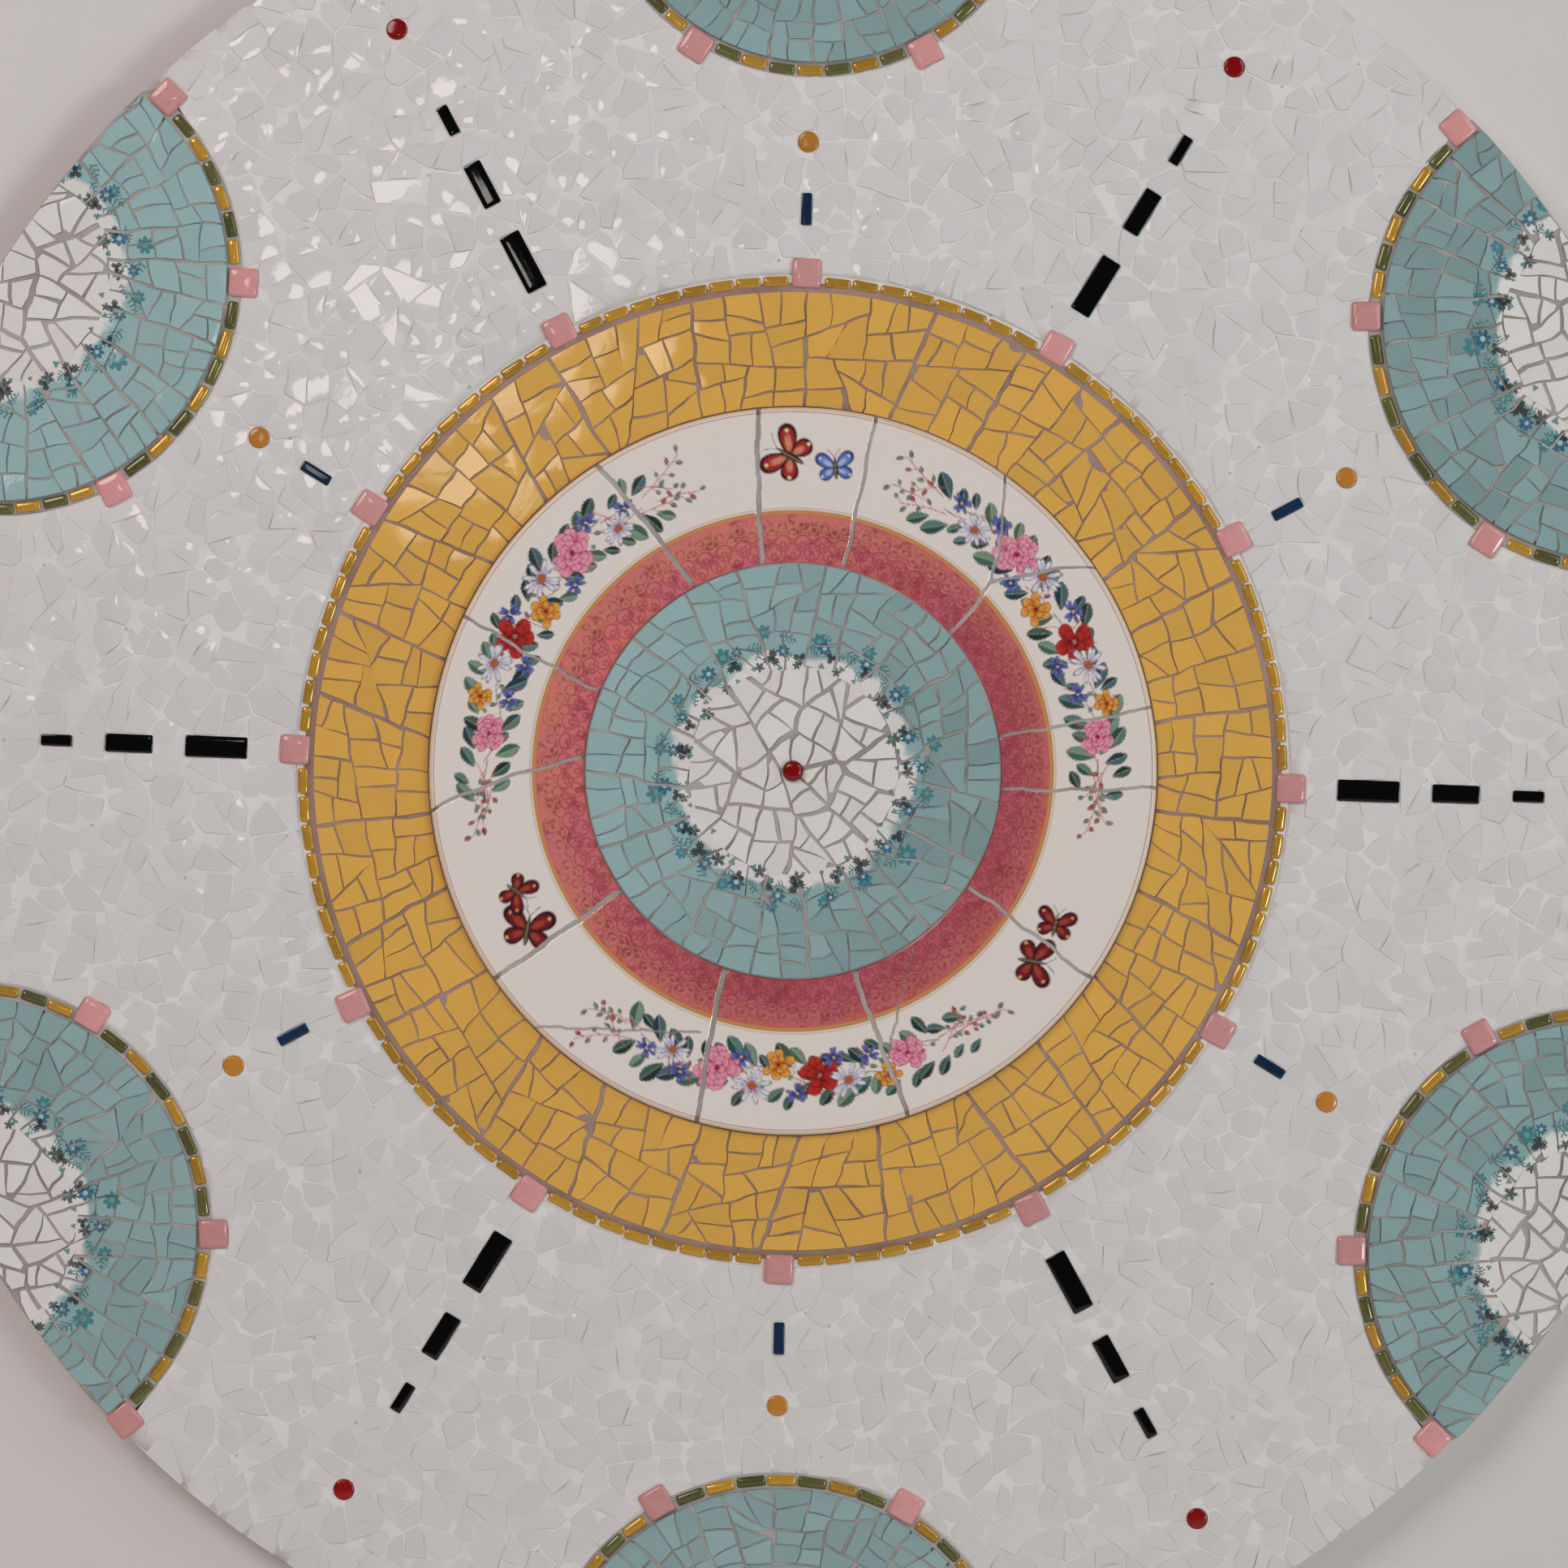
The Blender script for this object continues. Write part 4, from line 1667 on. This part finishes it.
def dish_shards(ring, well, centre, outer, top, rng):
    """The shards of a dish; its breaks wander, but for its outer edge and the edge of the panel."""
    looks = {"lift": 0.06, "tilt": 0.021, "arch": 0.08, "bevel": 0.18, "bend": 0.4, "smallest": 4.0}

    def fit(points):
        inside = within_ring(warp(points, 1.0, 30.0, 5), centre, 0.0, outer)
        return within_ring(inside, (0.0, 0.0), 0.0, PANEL_R - 0.4)

    return merged([crockery(cells, 15, rng, WELL_TOP - 1.4, top, looks, fit) for cells in (ring, well)])


def make_dish(settings):
    rng = np.random.default_rng(settings.seed + 2)
    centre = np.zeros(2)
    ring = ring_cells(centre, DISH_BREAK_R, DISH_R - 0.4, 19, (settings.dish_size / MM) ** 2, 1.0, 0.6, rng)
    well = well_cells(centre, DISH_BREAK_R - 1.1, settings.dish_size / MM * WELL_CHUNK, 1.3, rng)
    ring, well = open_joints(ring, rng, 0.02, 0.5), open_joints(well, rng, 0.03, 0.6)
    points, faces, values = dish_shards(ring, well, centre, DISH_R - 0.4,
                                        dish_top(centre, DISH_LIP_R, WELL_R), rng)
    values["pale"] = np.clip(0.22 + points[:, :2] @ polar(0.0037, 160), 0, 1)
    add_piece("Centre dish shards", points, faces, "dish", ["centre_dish"],
              values, uv=points[:, :2] - centre, crease=SHARD_CREASE)
    shape = circle(DOT_R, DISC_SIDES)
    points, faces, values = cushions(shape, centre[None], np.zeros(1), WELL_TOP - 1.0, DOT_TOP, 1.6,
                                     (0.5, 0.5), rng)
    values["tone"][:] = 0
    add_piece("Centre dot", points, faces, "red", ["centre_dish"], values)


def make_edging(settings):
    rng = np.random.default_rng(settings.seed + 3)
    rows = []
    for number in range(12):
        row = rod_row(np.zeros(2), ROD_R, pink_angle(number), pink_angle(number + 1), RODS_PER_SECTOR)
        rows.append(rods(*row, 0.9, rng))
    points, faces, values = merged(rows)
    add_piece("Edging rods", points, faces, "gold", ["ring_edging"], values)
    points, faces, values = pink_tiles(edging_pinks(), rng)
    add_piece("Edging pink tiles", points, faces, "pink", ["ring_edging"], values)


def make_medallion(index, settings):
    rng = np.random.default_rng(settings.seed + 10 + index)
    centre, inward, grow = medallion_plan(index)
    name, replaced, slot = f"Medallion {index + 1}", [f"rim_medallion_{index + 1}"], "turquoise_crockery"
    dish_r, well_r = MEDALLION_DISH_R + grow, MEDALLION_WELL_R + grow / 2
    dish = dish_top(centre, dish_r - 2.0, well_r)

    def ground(points):
        outside = np.linalg.norm(points - centre, axis=-1) - dish_r + 0.6
        return np.where(outside > 0, GROUT_TOP, dish(points) - 0.5)

    border, middle = half_dish_border(centre, MEDALLION_EDGING_R + grow)
    points, faces = plateau(border, middle, GROUND_BASE, ground, 56, 0.12, 20 + index)
    add_piece(name + " ground", points, faces, "grey_grout", replaced)
    ring, well = medallion_cells(index, rng, settings.dish_size / MM)
    points, faces, values = dish_shards(ring, well, centre, dish_r, dish, rng)
    values["pale"] = np.full(len(points), MEDALLION_PALE[index])
    scale = WELL_R / well_r
    add_piece(name + " shards", points, faces, "dish", replaced, values,
              uv=(points[:, :2] - centre) * scale, crease=SHARD_CREASE)
    gold, olive = [], []
    for row, count in enumerate(MEDALLION_RODS):
        start, end = inward + MEDALLION_PINK_TURNS[row], inward + MEDALLION_PINK_TURNS[row + 1]
        centres, degrees, length = rod_row(centre, MEDALLION_ROD_R + grow, start, end, count)
        odd = np.arange(count) % 2 == (1 if row == 2 else 0)
        for pick, rows in ((odd, olive), (~odd, gold)):
            rows.append(rods(centres[pick], degrees[pick], length, 0.8, rng))
    for rows, key in ((gold, "gold"), (olive, "olive")):
        points, faces, values = merged(rows)
        add_piece(f"{name} {key} rods", points, faces, key, replaced, values)
    points, faces, values = pink_tiles(medallion_pinks(index), rng)
    add_piece(name + " pink tiles", points, faces, "pink", replaced, values)


def make_inlays(settings):
    rng = np.random.default_rng(settings.seed + 4)
    for index in range(SPOKES):
        for key, size in BLACK_BARS.items():
            make_inlay(f"Black bar {index + 1} {key}", f"black_bar_{index + 1}_{key}",
                       inlay(index, "black", *size), "black", rng)
        make_inlay(f"Blue bar {index + 1}", f"blue_bar_{index + 1}", inlay(index, "blue", *BLUE_BAR), "blue",
                   rng)
        for key, place in inlay_discs(index).items():
            points, faces, values = cushions(circle(DISC_R, DISC_SIDES), place[None], np.zeros(1),
                                             BAR_TOP - INLAY_SUNK, BAR_TOP, 0.7, (0.35, 0.35), rng, 0.03)
            add_piece(f"{key.title()} disc {index + 1}", points, faces, key,
                      [f"{key}_disc_{index + 1}"], values)


def make_inlay(name, replaced, block, key, rng):
    """A bar of glass, a little arched, with soft corners."""
    centre, degrees, length, width = block
    shape = rounded_block(length, width, 0.6, 3)
    points, faces, values = cushions(shape, centre[None], np.array([degrees]), BAR_TOP - INLAY_SUNK, BAR_TOP,
                                     0.28, (0.1, 0.14), rng)
    add_piece(name, points, faces, key, [replaced], values)


def make_plate(settings):
    """The rim of the plate: all its shards are painted together, then each stands for the CAD shard
    whose middle is nearest."""
    order = sorted(BREAKS, key=lambda item: item["path"][0][1] % 360)
    shards = []
    for number, first in enumerate(order):
        last = order[(number + 1) % len(order)]
        shards.append(plate_shard(unwrapped(first, 0), unwrapped(last, first["path"][0][1] % 360),
                                  settings.paint_step / MM, PLATE_IN_TOP - 1.6, 100 + number))
    sizes = [len(points) for points, faces in shards]
    colour, gilt = paint_plate(np.concatenate([points[:, :2] for points, faces in shards]))
    starts = np.cumsum([0] + sizes)
    nodes = [f"plate_shard_{number + 1}" for number in range(len(order))]
    middles = np.array([[(a + b) / 2 / MM for a, b in zip(*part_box(name))] for name in nodes])[:, [0, 2]]
    for number, (points, faces) in enumerate(shards):
        own = slice(starts[number], starts[number + 1])
        middle = (points[:, :2].max(axis=0) + points[:, :2].min(axis=0)) / 2
        replaced = nodes[int(np.linalg.norm(middles - middle, axis=1).argmin())]
        add_piece("Plate shard " + replaced.rsplit("_", 1)[1], points, faces, "porcelain",
                  [replaced], {"paint": colour[own], "gilt": gilt[own]}, uv=points[:, :2],
                  crease=35)


def unwrapped(item, start):
    """A break with its angles brought to a full turn at or after a start."""
    shift = (item["path"][0][1] - start) % 360 + start - item["path"][0][1]
    return {**item, "path": [(radius, degrees + shift) for radius, degrees in item["path"]]}


# ---- the stage

def make_light(name, place, target, size, power, colour=COOL_LIGHT):
    """A round area light that looks at a target."""
    data = bpy.data.lights.new(name, "AREA")
    data.shape = "DISK"
    data.size = size
    data.energy = power
    data.color = colour
    light = bpy.data.objects.new(name, data)
    bpy.context.scene.collection.objects.link(light)
    light.location = place
    light.rotation_euler = (Vector(target) - Vector(place)).to_track_quat("-Z", "Y").to_euler()


def make_plane(name, corners, made):
    mesh = bpy.data.meshes.new(name)
    mesh.from_pydata(corners, [], [(0, 1, 2, 3)])
    mesh.materials.append(made)
    plane = bpy.data.objects.new(name, mesh)
    bpy.context.scene.collection.objects.link(plane)


def wall_material(name, light, dark, one_sided):
    """Painted plaster, faintly uneven. One-sided plaster lets light through and is clear from behind,
    so that the back of the panel can be seen."""
    made = bpy.data.materials.new(name)
    made.use_nodes = True
    made.node_tree.nodes.clear()
    TREES.append(made.node_tree)
    shader = node("BsdfDiffuse", {"Roughness": 0.6})
    where = place_of()
    grain = noise(where, 420.0, 4.0)
    bump = node("Bump", {"Height": grain, "Strength": 0.15, "Distance": 0.0004})
    fill(shader.inputs, {"Color": mix(noise(where, 5.0, 4.0), shade(*dark), shade(*light)),
                         "Normal": bump.outputs[0]})
    surface = shader.outputs[0]
    if one_sided:
        behind = node("NewGeometry").outputs["Backfacing"]
        shadow = node("LightPath").outputs["Is Shadow Ray"]
        clear = node("BsdfTransparent").outputs[0]
        seen = calc("MAXIMUM", behind, shadow)
        surface = node("MixShader", {0: seen, 1: surface, 2: clear}).outputs[0]
    node("OutputMaterial", {"Surface": surface})
    TREES.pop()
    return made


def make_stage(settings):
    """A pale wall behind the panel, a pale floor well below it, soft lights and the camera."""
    wall = wall_material("Stage wall", (201, 196, 194), (195, 190, 188), True)
    floor = wall_material("Stage floor", (192, 186, 183), (187, 181, 178), False)
    make_plane("Stage wall", [
        (-WALL_SIDE, WALL_BEHIND, FLOOR_HEIGHT), (WALL_SIDE, WALL_BEHIND, FLOOR_HEIGHT),
        (WALL_SIDE, WALL_BEHIND, WALL_HEIGHT), (-WALL_SIDE, WALL_BEHIND, WALL_HEIGHT)], wall)
    make_plane("Stage floor", [
        (-FLOOR_SIDE, -FLOOR_DEPTH, FLOOR_HEIGHT), (FLOOR_SIDE, -FLOOR_DEPTH, FLOOR_HEIGHT),
        (FLOOR_SIDE, FLOOR_DEPTH, FLOOR_HEIGHT), (-FLOOR_SIDE, FLOOR_DEPTH, FLOOR_HEIGHT)], floor)
    fill_power = settings.fill_power
    make_light("Stage key", (-1.3, -1.9, 1.3), PANEL_FACE, 1.4, settings.key_power, (1.06, 0.985, 0.985))
    make_light("Stage fill", (1.9, -1.5, 0.9), PANEL_FACE, 1.8, fill_power)
    make_light("Stage low fill", (2.5, -2.6, -0.8), PANEL_FACE, 1.3, fill_power * 3.35, (0.78, 1.015, 1.035))
    make_light("Stage back", (1.5, 2.4, 1.6), PANEL_FACE, 1.6, fill_power * 2)
    make_light("Stage glint", (-0.255, -1.517, 0.321), (-0.13, 0.0, 0.158), 0.16, settings.glint_power,
               (1.0, 0.93, 0.84))
    world_ = bpy.data.worlds.new("Stage world")
    world_.use_nodes = True
    background = world_.node_tree.nodes["Background"].inputs
    background["Color"].default_value = (*COOL_LIGHT, 1.0)
    background["Strength"].default_value = settings.world_strength
    scene = bpy.context.scene
    scene.world = world_
    scene.view_settings.view_transform = "Standard"
    camera = bpy.data.objects.new("Camera", bpy.data.cameras.new("Camera"))
    scene.collection.objects.link(camera)
    camera.data.sensor_width = SENSOR_WIDTH
    camera.data.lens = SENSOR_WIDTH * CAMERA_AWAY / FRAME_WIDTH
    camera.location = world(np.array([[CAMERA_U, CAMERA_V, CAMERA_AWAY + FIELD_TOP]]))[0]
    camera.rotation_euler = (math.radians(90), 0, 0)
    scene.camera = camera


# ---- settings

def colour_setting(name, description, shown):
    return bpy.props.FloatVectorProperty(
        name=name, description=description, default=tuple(float(value) for value in paint(*shown)),
        subtype="COLOR", size=3, min=0.0, max=1.0)


def length_setting(name, description, default, low, high, precision=4):
    return bpy.props.FloatProperty(name=name, description=description, default=default, min=low, max=high,
                                   unit="LENGTH", precision=precision)


def power_setting(name, description, default):
    return bpy.props.FloatProperty(name=name, description=description, default=default, min=0.0, unit="POWER")


class MosaicColours(bpy.types.PropertyGroup):
    """Main colour of each kind of piece."""
    white: colour_setting("White crockery", "Glaze of the shards of the ground", (195, 190, 189))
    yellow: colour_setting("Yellow crockery", "Glaze of the shards of the wide band", (199, 152, 73))
    turquoise: colour_setting("Turquoise crockery", "Glaze of the broken dishes", (121, 144, 145))
    porcelain: colour_setting("Porcelain", "Unpainted ground of the plate", (209, 197, 191))
    crimson: colour_setting("Crimson", "Wide painted band of the plate", (164, 79, 85))
    gold: colour_setting("Gold rods", "Glass rods round the yellow band", (166, 124, 46))
    olive: colour_setting("Olive rods", "Darker glass rods of the medallions", (87, 85, 48))
    pink: colour_setting("Pink tiles", "Square pillow tiles of glass", (188, 132, 130))
    black: colour_setting("Black bars", "Glass bars on the six spokes", (2, 2, 3))
    blue: colour_setting("Blue bars", "Short glass bars between the spokes", (18, 37, 63))
    ochre: colour_setting("Ochre discs", "Round pieces between the spokes", (169, 110, 44))
    red: colour_setting("Red discs", "Round pieces on the spokes and in the middle", (124, 10, 10))


class MosaicShards(bpy.types.PropertyGroup):
    """Sizes of the broken crockery."""
    white_size: length_setting("White shard size", "Spacing of the shards of the white ground", 0.013, 0.008,
                               0.03)
    yellow_size: length_setting("Yellow shard size", "Side of the largest yellow shards", 0.0128, 0.006, 0.03)
    dish_size: length_setting("Turquoise shard size", "Side of the largest shards of the dishes", 0.0115,
                              0.006, 0.03)
    joint: length_setting("Joint", "Width of the joints between white shards", 0.0007, 0.0004, 0.003, 5)
    seed: bpy.props.IntProperty(
        name="Seed", description="Another seed breaks the crockery another way", default=7)


class MosaicPlate(bpy.types.PropertyGroup):
    """Fineness of the painted plate."""
    paint_step: length_setting("Painting step", "Spacing of the painted points on the rim of the plate",
                               0.00047, 0.0003, 0.003, 5)


class MosaicStage(bpy.types.PropertyGroup):
    """Light on the stage."""
    key_power: power_setting("Key light", "Power of the main light, from the upper left", 25.5)
    fill_power: power_setting("Fill lights", "Power of the lights that fill the shadows", 14.0)
    glint_power: power_setting("Glint light", "Power of the small light that is mirrored in the glaze", 0.34)
    world_strength: bpy.props.FloatProperty(
        name="Surroundings", description="Strength of the light from all round", default=0.05, min=0.0)


# ---- operators

class MOSAIC_OT_board(bpy.types.Operator):
    """Make the backing board and the grounds of grout that the pieces are bedded in"""
    bl_idname = "mosaic.board"
    bl_label = "Board and Grounds"

    def execute(self, context):
        make_board()
        make_beds()
        return {"FINISHED"}


class MOSAIC_OT_white_field(bpy.types.Operator):
    """Lay the white shards round everything that is set into them"""
    bl_idname = "mosaic.white_field"
    bl_label = "White Field"

    def execute(self, context):
        make_field(context.scene.mosaic_shards)
        return {"FINISHED"}


class MOSAIC_OT_yellow_band(bpy.types.Operator):
    """Lay the wide ring of yellow shards"""
    bl_idname = "mosaic.yellow_band"
    bl_label = "Yellow Band"

    def execute(self, context):
        make_yellow(context.scene.mosaic_shards)
        return {"FINISHED"}


class MOSAIC_OT_plate(bpy.types.Operator):
    """Make the painted rim of the plate in its broken pieces"""
    bl_idname = "mosaic.plate"
    bl_label = "Plate"

    def execute(self, context):
        make_plate(context.scene.mosaic_plate)
        return {"FINISHED"}


class MOSAIC_OT_centre_dish(bpy.types.Operator):
    """Lay the broken turquoise dish in the middle, with its red dot"""
    bl_idname = "mosaic.centre_dish"
    bl_label = "Centre Dish"

    def execute(self, context):
        make_dish(context.scene.mosaic_shards)
        return {"FINISHED"}


class MOSAIC_OT_edging(bpy.types.Operator):
    """Lay the ring of gold rods and pink tiles round the yellow band"""
    bl_idname = "mosaic.edging"
    bl_label = "Edging"

    def execute(self, context):
        make_edging(context.scene.mosaic_shards)
        return {"FINISHED"}


class MOSAIC_OT_medallions(bpy.types.Operator):
    """Lay the six half dishes at the edge of the panel, with their rods and pink tiles"""
    bl_idname = "mosaic.medallions"
    bl_label = "Medallions"

    def execute(self, context):
        for index in range(SPOKES):
            make_medallion(index, context.scene.mosaic_shards)
        return {"FINISHED"}


class MOSAIC_OT_inlays(bpy.types.Operator):
    """Set the black and blue bars and the ochre and red discs into the white field"""
    bl_idname = "mosaic.inlays"
    bl_label = "Bars and Discs"

    def execute(self, context):
        make_inlays(context.scene.mosaic_shards)
        return {"FINISHED"}


class MOSAIC_OT_stage(bpy.types.Operator):
    """Set up the wall, floor, lights and camera"""
    bl_idname = "mosaic.stage"
    bl_label = "Stage"

    def execute(self, context):
        make_stage(context.scene.mosaic_stage)
        return {"FINISHED"}


STEPS = (MOSAIC_OT_board, MOSAIC_OT_white_field, MOSAIC_OT_yellow_band, MOSAIC_OT_plate,
         MOSAIC_OT_centre_dish, MOSAIC_OT_edging, MOSAIC_OT_medallions, MOSAIC_OT_inlays, MOSAIC_OT_stage)
SETTINGS = {"mosaic_colours": MosaicColours, "mosaic_shards": MosaicShards, "mosaic_plate": MosaicPlate,
            "mosaic_stage": MosaicStage}


class MOSAIC_PT_panel(bpy.types.Panel):
    """Settings and steps of the mosaic panel"""
    bl_label = "Mosaic Panel"
    bl_idname = "MOSAIC_PT_panel"
    bl_space_type = "VIEW_3D"
    bl_region_type = "UI"
    bl_category = "Mosaic"

    def draw(self, context):
        for key, kind in SETTINGS.items():
            box = self.layout.box()
            for name in kind.__annotations__:
                box.prop(getattr(context.scene, key), name)
        for step in STEPS:
            self.layout.operator(step.bl_idname)


def register():
    for kind in (*SETTINGS.values(), *STEPS, MOSAIC_PT_panel):
        bpy.utils.register_class(kind)
    for key, kind in SETTINGS.items():
        setattr(bpy.types.Scene, key, bpy.props.PointerProperty(type=kind))


def unregister():
    for key in SETTINGS:
        delattr(bpy.types.Scene, key)
    for kind in reversed((*SETTINGS.values(), *STEPS, MOSAIC_PT_panel)):
        bpy.utils.unregister_class(kind)


def main():
    register()
    bpy.ops.mosaic.board()
    bpy.ops.mosaic.white_field()
    bpy.ops.mosaic.yellow_band()
    bpy.ops.mosaic.plate()
    bpy.ops.mosaic.centre_dish()
    bpy.ops.mosaic.edging()
    bpy.ops.mosaic.medallions()
    bpy.ops.mosaic.inlays()
    bpy.ops.mosaic.stage()


if __name__ == "__main__":
    main()
